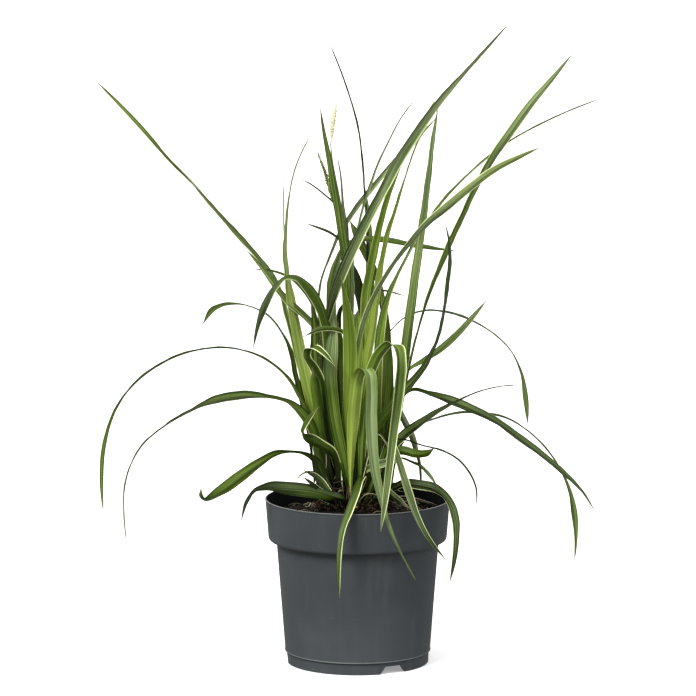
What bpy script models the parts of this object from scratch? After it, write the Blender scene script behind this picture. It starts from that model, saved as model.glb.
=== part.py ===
"""A clump of variegated ornamental grass in a 19 cm nursery pot.

Metres, +Z up. The origin is on the pot's axis, on the surface it stands on, and
the front is towards -Y. The pieces are the pot, the potting soil, the crown that
the leaves grow from, the leaves, and two flower spikes.
"""
import math

import bmesh
import bpy
from mathutils import Matrix, Vector
from mathutils.geometry import interpolate_bezier

MM = 0.001
GAP = 0.4 * MM                     # left between pieces that touch

# Pot: radii and heights of its outside, in mm
POT_HEIGHT = 170.0
RIM_RADIUS = 95.0
LIP = 1.2                          # height of the bead round the rim
BAND_FOOT_RADIUS = 91.3            # of the wide band under the rim, at its lower edge
BAND_FOOT_HEIGHT = 127.0
BAND_CORNER = 4.0
BODY_TOP_RADIUS = 83.4
BODY_FOOT_RADIUS = 74.5
SEAM_HEIGHT = 12.5                 # the fine raised line round the foot
SEAM_DEPTH = 0.7
FOOT_RADIUS = 72.8
FOOT_WIDTH = 3.0
FLOOR_HEIGHT = 8.0                 # underside of the floor, above the foot
WALL = 1.6
PAD_RADIUS = 13.0                  # the central pad that also reaches the ground
POT_STEPS = 40
NOTCH_BEARINGS = (300, 60, 180)    # degrees round from +X; one shows at the front right
NOTCH_FOOT, NOTCH_TOP, NOTCH_HEIGHT = 27.0, 11.0, 8.0
DRAIN_RADIUS, DRAIN_RING, DRAINS = 5.0, 46.0, 6

# Soil and crown, in mm
SOIL_EDGE_HEIGHT = 150.0
SOIL_SEAT_HEIGHT, SOIL_SEAT_RADIUS = 160.0, 41.0
CROWN_X = -4.0
CROWN_RADIUS, CROWN_RISE = 38.0, 24.0

# The front layout that the leaves' routes are drawn on. Its cells are about 1 mm
# at the pot's axis, and it is seen from EYE, so that what stands nearer is larger.
EYE = Vector((-0.0099, -4.428, 0.971))
EYE_TILT = math.radians(8.3)       # below level
SHEET_MIDDLE = 348                 # across and down, straight ahead of the eye
SHEET_REACH = 4390                 # cells from the eye to the sheet
VIEW = Matrix.Rotation(math.pi / 2 - EYE_TILT, 3, "X")

# Blades, in mm
STATIONS_LEAST, STATIONS_MOST = 9, 16
STATION_LENGTH = 26.0
BEND_LENGTH = 20.0                 # of blade that one radian of bend counts as
BLADE_THICKNESS, SHEATH_THICKNESS = 0.9, 1.6
BLADE_FOLD = 0.16                  # how far the edges rise over the midrib, by width
TIP_WIDTH = 0.9

GREEN = (0.17, 0.27, 0.05)
DARK_GREEN = (0.06, 0.12, 0.025)
CREAM = (0.70, 0.72, 0.36)

# name: (width, (radius, bearing) of its root on the crown, depths, route).
# Depths are mm behind the pot's axis, spread evenly over the route's points.
# Each point is (across, down, width that shows from the front).
LEAVES = {
    "leaf_left_long": (8.5, (34, 163), (30, 60, 90), (
        (316, 430, 6), (305, 385, 6), (297, 352, 5), (290, 325, 5), (278, 282, 4), (246, 243, 6),
        (205, 197, 3), (187, 177, 1.5), (166, 156, 3.5), (144, 132, 5), (116, 102, 4), (96, 82, 1.5))),
    "leaf_left_parallel": (7.5, (18, 172), (14, 0), (
        (325, 420, 5), (321, 350, 6), (315, 326, 6), (300, 311, 6), (285, 297, 6), (262, 267, 4),
        (246, 249, 1.5))),
    "leaf_left_light": (13, (26, 205), (-12, -14), (
        (319, 440, 10), (310, 405, 12), (302, 365, 13), (297, 335, 12), (291, 300, 9), (287, 270, 5),
        (285, 240, 4.5), (286, 210, 3.5), (290, 182, 2), (297, 160, 2), (310, 134, 1.2))),
    "leaf_left_arch": (9.5, (18, 200), (-24, -36, -60), (
        (330, 430, 7), (328, 380, 7), (327, 335, 8), (322, 312, 9), (312, 294, 9), (300, 281, 7),
        (289, 277, 3), (280, 281, 4), (271, 295, 6), (263, 313, 5.5), (257, 332, 3.5), (253.5, 349.5, 1))),
    "leaf_left_thin_arch": (4, (26, 148), (24, 34), (
        (321, 420, 3), (318, 340, 2), (314, 312, 2), (306, 296, 2), (294, 281, 2), (273, 271, 2),
        (252.5, 269, 1))),
    "leaf_left_hook": (6, (34, 182), (-12, -45), (
        (308, 430, 4), (300, 397, 4), (295, 375, 4), (290, 350, 3.5), (273, 321, 2), (260, 311, 1.5),
        (248, 305, 2), (220, 305, 3.5), (212, 311, 5), (204, 323, 1.5))),
    "leaf_left_big_arc": (6.5, (34, 197), (-24, -38, -60), (
        (312, 430, 4), (301, 402, 3), (294, 386, 4), (282, 372, 3), (253, 352, 1.5), (223, 346.8, 1.2),
        (187, 351.5, 1.8), (150, 370, 3), (123, 396, 2), (106, 432, 4), (100.5, 468, 5), (100.5, 490, 3.5),
        (101.8, 514, 1))),
    "leaf_left_second_arc": (8.5, (34, 212), (-45, -80, -115), (
        (316, 442, 7), (308, 423, 7), (300, 412, 7), (282, 399, 3), (250, 395, 6), (232, 395, 7),
        (196, 408, 3), (160, 429, 1.5), (135, 455, 1.5), (124, 494, 1.8), (124, 512, 2), (126.4, 543.5, 1))),
    "leaf_left_wide_low": (10, (34, 227), (-48, -75, -95), (
        (321, 468, 8), (312, 458, 6), (303, 453, 4.5), (289, 451.5, 1.5), (276, 454, 5), (259, 463, 7.5),
        (241, 474, 9), (224, 486, 8.5), (212, 494, 5), (205, 497.5, 3), (201.5, 495, 2), (201.5, 488, 1))),
    "leaf_left_rim": (13, (34, 255), (-40, -48, -52), (
        (320, 493, 11), (300, 490, 13), (280, 487.5, 11), (264, 487, 8), (257, 490.5, 4), (250, 496, 4.5),
        (246, 506, 4), (240.5, 521, 1))),
    "leaf_left_short": (6.5, (34, 241), (-30, -32), (
        (320, 480, 6), (311, 474, 5), (303, 470, 1))),
    "leaf_fold_low_left": (9.5, (26, 240), (-34, -42, -48, -52), (
        (336, 458, 7), (330, 450, 9), (318, 443, 9), (308, 437, 8), (303, 431, 2), (307, 421, 5),
        (313, 413, 4), (319, 407, 1))),
    "leaf_fold_mid_left": (9.5, (18, 225), (-22, -32, -46, -60), (
        (330, 440, 8), (323, 400, 9), (320, 380, 9), (313, 367, 9), (306, 356, 8), (311, 348, 2),
        (318, 349, 6), (325, 354, 5), (336, 367, 1))),
    "leaf_small_level": (5.5, (10, 240), (-22, -44), (
        (348, 430, 5), (350, 380, 5), (350, 345, 4), (344, 332, 4), (335, 329, 4.5), (322, 328.5, 5),
        (303, 337, 1))),
    "leaf_centre_left_tall": (9, (10, 150), (10, 30), (
        (347, 420, 8), (347, 340, 8), (346, 260, 8), (343, 235, 8.5), (339, 210, 8), (334, 185, 7),
        (330, 160, 5.5), (325, 138, 4), (320.5, 109.5, 1))),
    "leaf_crossing_left": (6, (18, 145), (70, 95), (
        (326, 400, 4), (319, 330, 3), (317, 293, 2), (328, 256, 2.5), (341, 231, 3.5), (362, 201, 4.5),
        (384, 176, 4), (410, 140, 3), (440, 92, 1))),
    "leaf_tall_right": (11.5, (26, 178), (-4, -26, -60), (
        (320, 410, 5), (316, 362, 2), (325, 325, 3), (331, 300, 8), (347, 258, 11), (368, 212, 11),
        (394, 165, 10), (426, 117, 8), (456, 83, 5.5), (492, 44, 3), (509, 24.5, 1))),
    "leaf_arch_right": (11, (10, 195), (-1, 6, 14, 22, 28, 34, 38, 41, 48, 56, 60), (
        (342, 455, 8), (335, 410, 10), (331, 370, 10), (329, 335, 11), (329, 300, 7), (332, 270, 7),
        (348, 243, 5), (372, 238, 5), (410, 244, 4.5), (445, 250, 2.5), (458, 252, 1))),
    "leaf_leaning_left": (10, (26, 37), (55, 92), (
        (383, 450, 9), (385, 400, 10), (386, 370, 9), (389, 340, 6), (385, 305, 5), (373, 262, 4),
        (358, 233, 4), (351, 222, 1))),
    "leaf_thin_dark_arch": (4, (18, 62), (60, 75), (
        (363, 400, 3), (366, 300, 3), (368, 250, 2.5), (365, 190, 2), (359, 130, 2), (345, 82, 1.5),
        (329, 42, 1))),
    "leaf_thin_right": (5, (10, 100), (22, 40), (
        (350, 400, 4), (348, 320, 4), (350, 280, 4), (358, 225, 2.5), (369, 187, 3), (381, 156, 2),
        (402, 116, 1.2), (415.5, 98.5, 1))),
    "leaf_centre_right_tall": (9.5, (10, 50), (12, 18), (
        (360, 420, 8), (363, 350, 8), (366, 295, 9), (374, 252, 8), (384, 208, 6), (397, 174, 3.5),
        (404, 160, 1))),
    "leaf_kinked": (9.5, (18, 310), (-8, -20), (
        (365, 430, 8), (366, 365, 9), (371, 338, 9), (381, 275, 4.5), (390, 232, 3.5), (403, 183, 2),
        (415, 148, 1.5), (419, 139, 1.5), (435, 119, 1))),
    "leaf_tall_light": (9, (26, 0), (4, 10), (
        (393, 430, 8), (400, 390, 8), (405, 352, 8.5), (415, 280, 7.5), (423, 222, 7), (427, 190, 6),
        (431, 155, 4.5), (434, 130, 3), (437, 111, 1))),
    "leaf_crossing_right": (8.5, (18, 275), (-45, -80, -110), (
        (355, 410, 5), (358, 350, 5), (371, 304, 5), (391, 267, 4), (420, 229, 5), (456, 197.5, 8),
        (492, 170.5, 7), (527, 153, 4), (541, 147, 1))),
    "leaf_thin_far_right": (7.5, (10, 10), (30, 60), (
        (376, 430, 7), (380, 360, 7), (385, 318, 6), (395, 283, 4), (411, 249, 2), (440, 204.5, 3),
        (474, 168, 2), (506, 143, 2), (554, 117, 1.5), (600, 98, 1))),
    "leaf_tall_far_right": (9, (26, 342), (-6, -14, -30), (
        (398, 420, 4), (405, 385, 3), (415, 342, 3), (424, 306, 3), (440, 264, 5), (465, 210, 5),
        (488, 167, 6.5), (509, 137, 8.5), (529, 108, 8), (559.5, 70.5, 4), (573, 53, 1))),
    "leaf_dark_right": (9.5, (10, 330), (-10, -18, -31, -34, -40, -46, -52, -58, -68, -72), (
        (370, 440, 7), (378, 424, 8), (395, 401, 9), (414, 380, 8), (429, 360, 5.5), (439, 335, 3.5),
        (444.5, 305, 3), (448, 275, 4.5), (449.5, 240, 2), (446, 224, 1))),
    "leaf_right_mid": (7.5, (26, 18), (24, 46), (
        (388, 430, 5), (398, 385, 3), (410, 369, 2), (428, 358, 5.5), (450, 340, 6.5), (470, 319, 5),
        (487, 299, 1))),
    "leaf_front_fold_right": (10.5, (26, 284), (
        -32, -42, -50, -60, -75, -86, -92, -98, -104, -110, -118, -124), (
        (364, 420, 9), (369, 378, 10), (375, 362, 10.5), (386, 346, 9), (399, 347, 7), (403, 360, 8),
        (402, 385, 9), (396.5, 425, 8), (393, 450, 8), (389.5, 475, 7), (384, 512, 5), (380.5, 532, 1))),
    "leaf_front_fold_centre": (12, (26, 264), (
        -34, -40, -48, -56, -72, -80, -86, -90, -94, -104, -118, -138), (
        (352, 440, 10.5), (353.5, 415, 12), (355.5, 395, 12), (360, 374, 10), (368, 371, 8),
        (371, 388, 10.5), (370.5, 408, 11), (371.5, 430, 10.5), (373.5, 460, 10), (380.5, 497, 6),
        (393, 535, 4), (415.5, 580, 1))),
    "leaf_centre_bright": (14, (18, 250), (-40, -62), (
        (345, 440, 9), (346, 410, 10), (349, 385, 13), (350, 355, 14), (349, 330, 12), (347, 310, 8),
        (341, 277, 1))),
    "leaf_dark_wide_back": (8.5, (18, 90), (32, 42), (
        (360, 410, 6), (362, 330, 6), (361, 305, 6), (358, 290, 8), (355, 275, 6), (351, 258, 1))),
    "leaf_dark_arc": (6.5, (18, 118), (24, 40), (
        (344, 410, 6), (343, 360, 6), (340, 340, 6), (339, 320, 5), (341, 308, 4), (348, 298, 1))),
    "leaf_left_short_light": (9.5, (26, 222), (-30, -44), (
        (320, 430, 8), (317, 405, 9), (315, 385, 9), (312, 368, 1))),
    "leaf_light_strip": (6.5, (18, 293), (-26, -30), (
        (362, 440, 6), (363, 400, 5), (363, 372, 1))),
    "leaf_right_rise": (9.5, (26, 303), (-26, -52, -90), (
        (388, 452, 9), (399, 440, 9), (409, 431, 9), (420, 423, 8), (440, 410, 4.5), (461, 399, 2.5),
        (482, 390, 2), (508, 385, 1.5), (519, 386, 1))),
    "leaf_right_long_arc": (9.5, (34, 347), (
        -19, -20, -20, -22, -25, -29, -34, -38, -42, -46, -49, -50), (
        (396, 430, 4), (401, 402, 3), (408, 391, 2), (420, 391.5, 3), (450, 400, 8.5), (465, 406, 9),
        (492, 418.5, 6), (520, 438, 7), (548, 459, 6), (578, 486, 3.5), (590, 500, 2), (596, 509.5, 1))),
    "leaf_right_second_arc": (6.5, (34, 14), (14, 20), (
        (398, 452, 4), (410, 432, 3), (429, 421, 1.5), (451, 414, 2), (476, 413, 3.5), (505, 418, 1.5),
        (535, 438, 1.5), (556, 464, 2), (569, 488, 4), (577, 517, 5.5), (578, 535, 4), (575.5, 562, 1))),
    "leaf_right_high_arc": (5.5, (18, 35), (36, 50, 70), (
        (374, 400, 4), (376, 352, 2), (390, 331, 1.5), (411, 314, 1.5), (434, 310.5, 2), (460, 316, 2.5),
        (484, 327, 2), (503, 342, 2), (517, 362, 2), (524, 392, 5), (527.5, 425, 1))),
    "leaf_right_thin_low": (3, (30, 311), (-36, -50), (
        (385, 446, 2), (395, 439, 1.5), (420, 445, 1.5), (449, 453.5, 2), (463, 465, 2), (475, 483, 2),
        (476.6, 507.5, 1))),
    "leaf_right_hook": (9.5, (34, 318), (-36, -42, -46, -52, -58, -64), (
        (390, 456, 8), (400, 451, 9), (410, 453, 9), (420, 455, 7), (428, 453.5, 5), (434, 449, 1))),
    "leaf_back_drop": (5.5, (34, 35), (40, 62, 108), (
        (394, 440, 4), (395, 413, 3), (398, 407, 3), (403, 418, 5), (409, 429, 5), (414, 441, 5),
        (418, 455, 4), (420.5, 482, 1))),
    "leaf_right_thin_drop": (4.5, (30, 327), (-30, -60), (
        (394, 460, 3), (402, 458, 2), (411, 461.5, 2), (419, 466, 2.5), (426, 472, 3.5), (437, 487, 1))),
    "leaf_right_rim": (10, (34, 333), (-38, -46, -52), (
        (396, 485, 8), (408, 483, 8), (420, 484, 10), (433, 488, 9), (441, 494, 7), (448, 505, 6),
        (453, 518, 7.5), (455.5, 540, 6), (453.5, 563, 4.5), (449.5, 584, 1))),
    "leaf_front_right_rim": (8.5, (34, 290), (-46, -66, -86, -106), (
        (386, 452, 6), (390.5, 444.5, 5), (395.5, 447, 5), (400, 459, 6), (406, 477, 8), (411.5, 493, 8),
        (418, 512, 6.5), (426, 532, 5), (440, 556, 1))),
    "leaf_front_centre_rim": (8.5, (34, 272), (
        -46, -56, -68, -84, -101, -108, -114, -118, -122, -126), (
        (362, 482, 7), (363, 477, 4), (361, 481, 6), (357, 491, 8), (349, 514, 7), (344, 528, 6),
        (341, 542, 5), (339.5, 556, 5), (338.5, 580, 4), (339.6, 598, 1))),
    "leaf_soil_right": (6.5, (34, 304), (-44, -52), (
        (386, 490, 6), (392, 495, 6), (400, 501, 6), (411, 509.5, 1))),
    "leaf_back_arch_left": (8, (26, 122), (70, 130, 190), (
        (328, 420, 7), (322, 370, 7), (316, 342, 6), (310, 335, 4), (306, 345, 5), (304, 370, 5),
        (303, 400, 1))),
    "leaf_back_arch_mid": (9, (26, 97), (80, 140, 205), (
        (352, 400, 8), (353, 340, 8), (355, 315, 6), (357, 320, 5), (359, 350, 6), (360, 390, 1))),
    "leaf_back_arch_right": (9, (26, 57), (75, 130, 185), (
        (374, 410, 8), (379, 360, 8), (384, 340, 6), (389, 343, 5), (393, 365, 6), (396, 405, 1))),
    "leaf_back_tall": (8, (26, 77), (60, 110, 175), (
        (366, 400, 7), (371, 320, 7), (372, 260, 6), (369, 215, 4), (363, 180, 1))),
    "leaf_back_low_left": (8, (34, 125), (60, 90, 135), (
        (334, 455, 7), (327, 447, 6), (322, 450, 6), (318, 462, 5), (315, 482, 1))),
    "leaf_back_low_mid": (8, (34, 90), (70, 105, 155), (
        (354, 455, 7), (355, 442, 7), (356, 443, 6), (357, 455, 5), (358, 474, 1))),
    "leaf_back_low_right": (8, (34, 58), (64, 96, 140), (
        (374, 455, 7), (380, 445, 6), (385, 448, 6), (389, 460, 5), (392, 480, 1))),
}

# name: (stem radius, head radius, root, depths, route to the head's foot, head's route)
SPIKES = {
    "spike_cream": (0.7, 1.9, (3, 130), (10, 34), (
        (352, 420), (352, 340), (350, 260), (345, 215), (338, 178), (332, 146)), (
        (331.6, 138), (333, 120), (336, 104))),
    "spike_green": (0.6, 1.7, (14, 125), (26, 44), (
        (347, 420), (345, 340), (343, 270), (338, 222), (332, 196)), (
        (330, 187), (325, 170), (318.5, 153))),
}
STEM_POINTS, HEAD_POINTS = 14, 7


def material(name, colour, roughness):
    """A plain material with the piece's colour."""
    made = bpy.data.materials.new(name)
    made.use_nodes = True
    surface = made.node_tree.nodes["Principled BSDF"]
    surface.inputs["Base Color"].default_value = (*colour, 1)
    surface.inputs["Roughness"].default_value = roughness
    made.diffuse_color = (*colour, 1)
    return made


def add_object(name, data, collection, look=None):
    """A named object in its collection, with a material of its own."""
    made = bpy.data.objects.new(name, data)
    collection.objects.link(made)
    if look:
        data.materials.append(look)
    return made


def turned(name, outline, steps, collection, look):
    """A solid turned about Z from its half outline, (radius, height) in mm from axis to axis."""
    mesh = bpy.data.meshes.new(name)
    points = [(r * MM, 0, z * MM) for r, z in outline]
    mesh.from_pydata(points, [(i, i + 1) for i in range(len(points) - 1)], [])
    made = add_object(name, mesh, collection, look)
    screw = made.modifiers.new("Turn", "SCREW")
    screw.steps = screw.render_steps = steps
    screw.use_merge_vertices = True
    screw.merge_threshold = 0.00005
    screw.use_smooth_shade = False
    return made


def cut(target, cutter):
    """Takes the cutter's shape out of the target."""
    cutter.hide_render = True
    cutter.display_type = "WIRE"
    boolean = target.modifiers.new(cutter.name, "BOOLEAN")
    boolean.operation = "DIFFERENCE"
    boolean.object = cutter


def band_radius(height):
    """Outside radius of the band under the rim at a height, in mm."""
    share = (POT_HEIGHT - height) / (POT_HEIGHT - BAND_FOOT_HEIGHT)
    return RIM_RADIUS + (BAND_FOOT_RADIUS - RIM_RADIUS) * share


def body_radius(height):
    """Outside radius of the body under the band at a height, in mm."""
    share = (BAND_FOOT_HEIGHT - height) / (BAND_FOOT_HEIGHT - SEAM_HEIGHT)
    return BODY_TOP_RADIUS + (BODY_FOOT_RADIUS - BODY_TOP_RADIUS) * share


def pot_inside(clearance=0.0):
    """The pot's inner wall from the floor up, less a clearance, as (radius, height) in mm."""
    inset = WALL + clearance
    floor = FLOOR_HEIGHT + WALL + clearance
    step = BAND_FOOT_HEIGHT + inset
    return [
        (body_radius(floor) - SEAM_DEPTH - inset, floor),
        (body_radius(SEAM_HEIGHT + 4) - inset, SEAM_HEIGHT + 4),
        (body_radius(BAND_FOOT_HEIGHT) - inset, BAND_FOOT_HEIGHT),
        (body_radius(BAND_FOOT_HEIGHT) - inset + 0.6, step),
        (band_radius(step) - inset - 0.6 * BAND_CORNER, step),
        (band_radius(step + BAND_CORNER) - inset, step + BAND_CORNER),
    ]


def make_pot(collection, cutters):
    """The pot, with its drain holes and the notches in its foot cut out."""
    corner = BAND_FOOT_HEIGHT + BAND_CORNER
    outline = [
        (0, FLOOR_HEIGHT + WALL),
        *pot_inside(),
        (RIM_RADIUS - WALL, POT_HEIGHT),
        (RIM_RADIUS - 0.3, POT_HEIGHT),
        (RIM_RADIUS, POT_HEIGHT - 0.3),
        (RIM_RADIUS, POT_HEIGHT - LIP),
        (band_radius(POT_HEIGHT - LIP) - 0.4, POT_HEIGHT - LIP - 0.4),
        (band_radius(corner), corner),
        (band_radius(corner) - 0.3 * BAND_CORNER, corner - 0.7 * BAND_CORNER),
        (band_radius(corner) - BAND_CORNER, BAND_FOOT_HEIGHT),
        (BODY_TOP_RADIUS, BAND_FOOT_HEIGHT),
        (body_radius(SEAM_HEIGHT + 1), SEAM_HEIGHT + 1),
        (BODY_FOOT_RADIUS + SEAM_DEPTH, SEAM_HEIGHT),
        (FOOT_RADIUS + 0.4, SEAM_HEIGHT - 1.5),
        (FOOT_RADIUS, 0),
        (FOOT_RADIUS - FOOT_WIDTH, 0),
        (FOOT_RADIUS - FOOT_WIDTH - 0.5, FLOOR_HEIGHT),
        (PAD_RADIUS + 1.5, FLOOR_HEIGHT),
        (PAD_RADIUS, 0),
        (0, 0),
    ]
    pot = turned("pot", outline, POT_STEPS, collection, material("pot", (0.075, 0.085, 0.09), 0.55))
    for number, bearing in enumerate(NOTCH_BEARINGS):
        cut(pot, notch_cutter(f"notch_{number + 1}", bearing, cutters))
    for number in range(DRAINS):
        cut(pot, drain_cutter(f"drain_{number + 1}", 360 * number / DRAINS, cutters))
    return pot


def notch_cutter(name, bearing, cutters):
    """A wedge that cuts one drain notch up from the foot's edge, wider at the ground."""
    half_foot, half_top = NOTCH_FOOT / 2 * MM, NOTCH_TOP / 2 * MM
    below, top = -2 * MM, NOTCH_HEIGHT * MM
    outline = [(-half_foot, below), (half_foot, below), (half_top, top), (-half_top, top)]
    inner, outer = (FOOT_RADIUS - 8) * MM, (FOOT_RADIUS + 4) * MM
    mesh = bpy.data.meshes.new(name)
    form = bmesh.new()
    ends = [[form.verts.new((reach, side, height)) for side, height in outline] for reach in (inner, outer)]
    form.faces.new(ends[0])
    form.faces.new(reversed(ends[1]))
    for i in range(len(outline)):
        j = (i + 1) % len(outline)
        form.faces.new((ends[0][j], ends[0][i], ends[1][i], ends[1][j]))
    bmesh.ops.recalc_face_normals(form, faces=form.faces)
    form.to_mesh(mesh)
    form.free()
    cutter = add_object(name, mesh, cutters)
    cutter.rotation_euler.z = math.radians(bearing)
    return cutter


def drain_cutter(name, bearing, cutters):
    """A rod that drills one drain hole through the floor."""
    mesh = bpy.data.meshes.new(name)
    form = bmesh.new()
    bmesh.ops.create_cone(
        form, cap_ends=True, segments=10, radius1=DRAIN_RADIUS * MM, radius2=DRAIN_RADIUS * MM, depth=6 * MM
    )
    form.to_mesh(mesh)
    form.free()
    cutter = add_object(name, mesh, cutters)
    angle = math.radians(bearing)
    cutter.location = (
        DRAIN_RING * math.cos(angle) * MM, DRAIN_RING * math.sin(angle) * MM, (FLOOR_HEIGHT + WALL / 2) * MM
    )
    return cutter


def make_soil(collection):
    """Potting soil that fills the pot to 20 mm under its rim and rises to the crown."""
    clearance = GAP / MM
    edge = band_radius(SOIL_EDGE_HEIGHT) - WALL - clearance
    outline = [
        (0, SOIL_SEAT_HEIGHT),
        (SOIL_SEAT_RADIUS, SOIL_SEAT_HEIGHT),
        (0.6 * edge + 0.4 * SOIL_SEAT_RADIUS, SOIL_EDGE_HEIGHT + 4.5),
        (edge, SOIL_EDGE_HEIGHT),
        *reversed(pot_inside(clearance)),
        (0, FLOOR_HEIGHT + WALL + clearance),
    ]
    return turned("soil", outline, 32, collection, material("soil", (0.035, 0.022, 0.015), 0.95))


def make_crown(collection):
    """The low dome of old leaf bases that every leaf grows from."""
    seat = SOIL_SEAT_HEIGHT + GAP / MM
    arc = [math.radians(a) for a in range(90, -1, -15)]
    outline = [(CROWN_RADIUS * math.cos(a), seat + CROWN_RISE * math.sin(a)) for a in arc]
    outline[0] = (0, seat + CROWN_RISE)
    crown = turned("crown", [*outline, (0, seat)], 24, collection, material("crown", (0.16, 0.1, 0.05), 0.9))
    crown.location.x = CROWN_X * MM
    return crown


def on_crown(root):
    """The point over the crown at (radius, bearing), and the crown's normal there."""
    radius, bearing = root
    angle = math.radians(bearing)
    out = Vector((math.cos(angle), math.sin(angle), 0))
    rise = CROWN_RISE * math.sqrt(1 - (radius / CROWN_RADIUS) ** 2)
    normal = (out * (radius / CROWN_RADIUS**2) + Vector((0, 0, rise / CROWN_RISE**2))).normalized()
    centre = Vector((CROWN_X, 0, SOIL_SEAT_HEIGHT + GAP / MM)) * MM
    return centre + out * (radius * MM) + Vector((0, 0, rise * MM)) + normal * (1.5 * GAP), normal


def on_sheet(across, down, back):
    """The point that stands back mm behind the pot's axis and shows at (across, down)."""
    ray = VIEW @ Vector(((across - SHEET_MIDDLE) / SHEET_REACH, (SHEET_MIDDLE - down) / SHEET_REACH, -1))
    return EYE + ray * ((back * MM - EYE.y) / ray.y)


def spread(values, count):
    """The values read at count even steps, from the first to the last."""
    read = []
    for i in range(count):
        place = i * (len(values) - 1) / (count - 1)
        lower = min(int(place), len(values) - 2)
        read.append(values[lower] + (values[lower + 1] - values[lower]) * (place - lower))
    return read


def route_points(root, depths, route):
    """The points in space of a route that starts at its root on the crown."""
    foot, normal = on_crown(root)
    if len(depths) == len(route):
        backs = depths
    else:
        backs = spread((foot.y / MM, *depths), len(route) + 1)[1:]
    return [foot, foot + normal * (4 * MM), *(on_sheet(p[0], p[1], b) for p, b in zip(route, backs))]


def smooth(points, fine=12):
    """A smooth curve through the points, as (place along them, point)."""
    handles = []
    for i, point in enumerate(points):
        before, after = points[max(i - 1, 0)], points[min(i + 1, len(points) - 1)]
        along = (after - before).normalized()
        handles.append(along)
    curve = []
    for i in range(len(points) - 1):
        reach = (points[i + 1] - points[i]).length / 3
        bend = interpolate_bezier(
            points[i], points[i] + handles[i] * reach, points[i + 1] - handles[i + 1] * reach,
            points[i + 1], fine + 1,
        )
        curve += [(i + j / fine, p) for j, p in enumerate(bend[:-1])]
    return [*curve, (len(points) - 1.0, points[-1])]


def stations(curve, least=STATIONS_LEAST, most=STATIONS_MOST):
    """Picks places along a curve, closer together where it bends."""
    spans = [0.0]
    for i in range(1, len(curve)):
        run = curve[i][1] - curve[i - 1][1]
        last = curve[i - 1][1] - curve[i - 2][1] if i > 1 else run
        spans.append(spans[-1] + run.length + last.angle(run, 0) * BEND_LENGTH * MM)
    count = max(least, min(most, round(spans[-1] / (STATION_LENGTH * MM)) + 1))
    picked, at = [], 0
    for i in range(count):
        while at < len(curve) - 2 and spans[at + 1] < spans[-1] * i / (count - 1):
            at += 1
        share = (spans[-1] * i / (count - 1) - spans[at]) / (spans[at + 1] - spans[at])
        here, there = curve[at], curve[at + 1]
        place = here[0] + (there[0] - here[0]) * share
        picked.append((place, here[1].lerp(there[1], share), (there[1] - here[1]).normalized()))
    return picked


def width_share(share):
    """How wide a blade is at a share of its length, beside its widest."""
    foot = min(1.0, 0.55 + 1.5 * share)
    tip = max(0.0, (share - 0.55) / 0.45)
    return foot * (1 - tip**1.8)


def blade_sides(points, shown, width, normal):
    """At each point, the blade's side direction and width, turned to show its width in front."""
    sides, widths = [], []
    for i, point in enumerate(points):
        along = (points[min(i + 1, len(points) - 1)] - points[max(i - 1, 0)]).normalized()
        if i < 2:
            out = Vector((normal.x, normal.y, 0))
            side = out.cross(Vector((0, 0, 1))).normalized() if i == 0 else sides[0]
            widths.append(width * width_share(0))
        else:
            flat = along.cross(point - EYE).normalized()
            deep = along.cross(flat)
            wide = max(width * width_share((i - 1) / (len(points) - 2)), shown[i - 2])
            turn = math.acos(min(1.0, shown[i - 2] / wide))
            choices = [
                (flat * across * math.cos(turn) + deep * back * math.sin(turn))
                for across in (1, -1)
                for back in (1, -1)
            ]
            side = max(choices, key=lambda choice: choice.dot(sides[-1]))
            widths.append(wide)
        sides.append(side)
    return sides, widths


def between(values, place):
    """The values read at a place between two of them."""
    lower = min(int(place), len(values) - 2)
    return values[lower] + (values[lower + 1] - values[lower]) * (place - lower)


def section(centre, along, side, width, thickness):
    """A blade's four-cornered section: its edges, and the two faces of its midrib."""
    across = (side - along * side.dot(along)).normalized()
    up = across.cross(along).normalized()
    edge = up * (width * BLADE_FOLD)
    return [
        centre - across * (width / 2) + edge,
        centre - up * (thickness / 2),
        centre + across * (width / 2) + edge,
        centre + up * (thickness / 2),
    ]


def loft(name, rings, collection, look):
    """A closed solid through rings of four corners each."""
    mesh = bpy.data.meshes.new(name)
    form = bmesh.new()
    rows = [[form.verts.new(corner) for corner in ring] for ring in rings]
    for row, after in zip(rows, rows[1:]):
        for i in range(4):
            j = (i + 1) % 4
            form.faces.new((row[i], row[j], after[j], after[i]))
    form.faces.new(reversed(rows[0]))
    form.faces.new(rows[-1])
    bmesh.ops.recalc_face_normals(form, faces=form.faces)
    bmesh.ops.triangulate(form, faces=form.faces)
    form.to_mesh(mesh)
    form.free()
    return add_object(name, mesh, collection, look)


def make_leaf(name, width, root, depths, route, collection):
    """One leaf blade, from its root on the crown to its tip."""
    normal = on_crown(root)[1]
    points = route_points(root, depths, route)
    sides, widths = blade_sides(points, [p[2] for p in route], width, normal)
    rings = []
    for place, centre, along in stations(smooth(points)):
        share = place / (len(points) - 1)
        wide = max(between(widths, place), TIP_WIDTH)
        thick = SHEATH_THICKNESS + (BLADE_THICKNESS - SHEATH_THICKNESS) * min(1, 6 * share)
        thick = min(thick, 0.35 + 0.3 * wide)
        rings.append(section(centre, along, between(sides, place), wide * MM, thick * MM))
    tone = GREEN if width > 7 else DARK_GREEN
    return loft(name, rings, collection, material(name, tone, 0.45))


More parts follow.
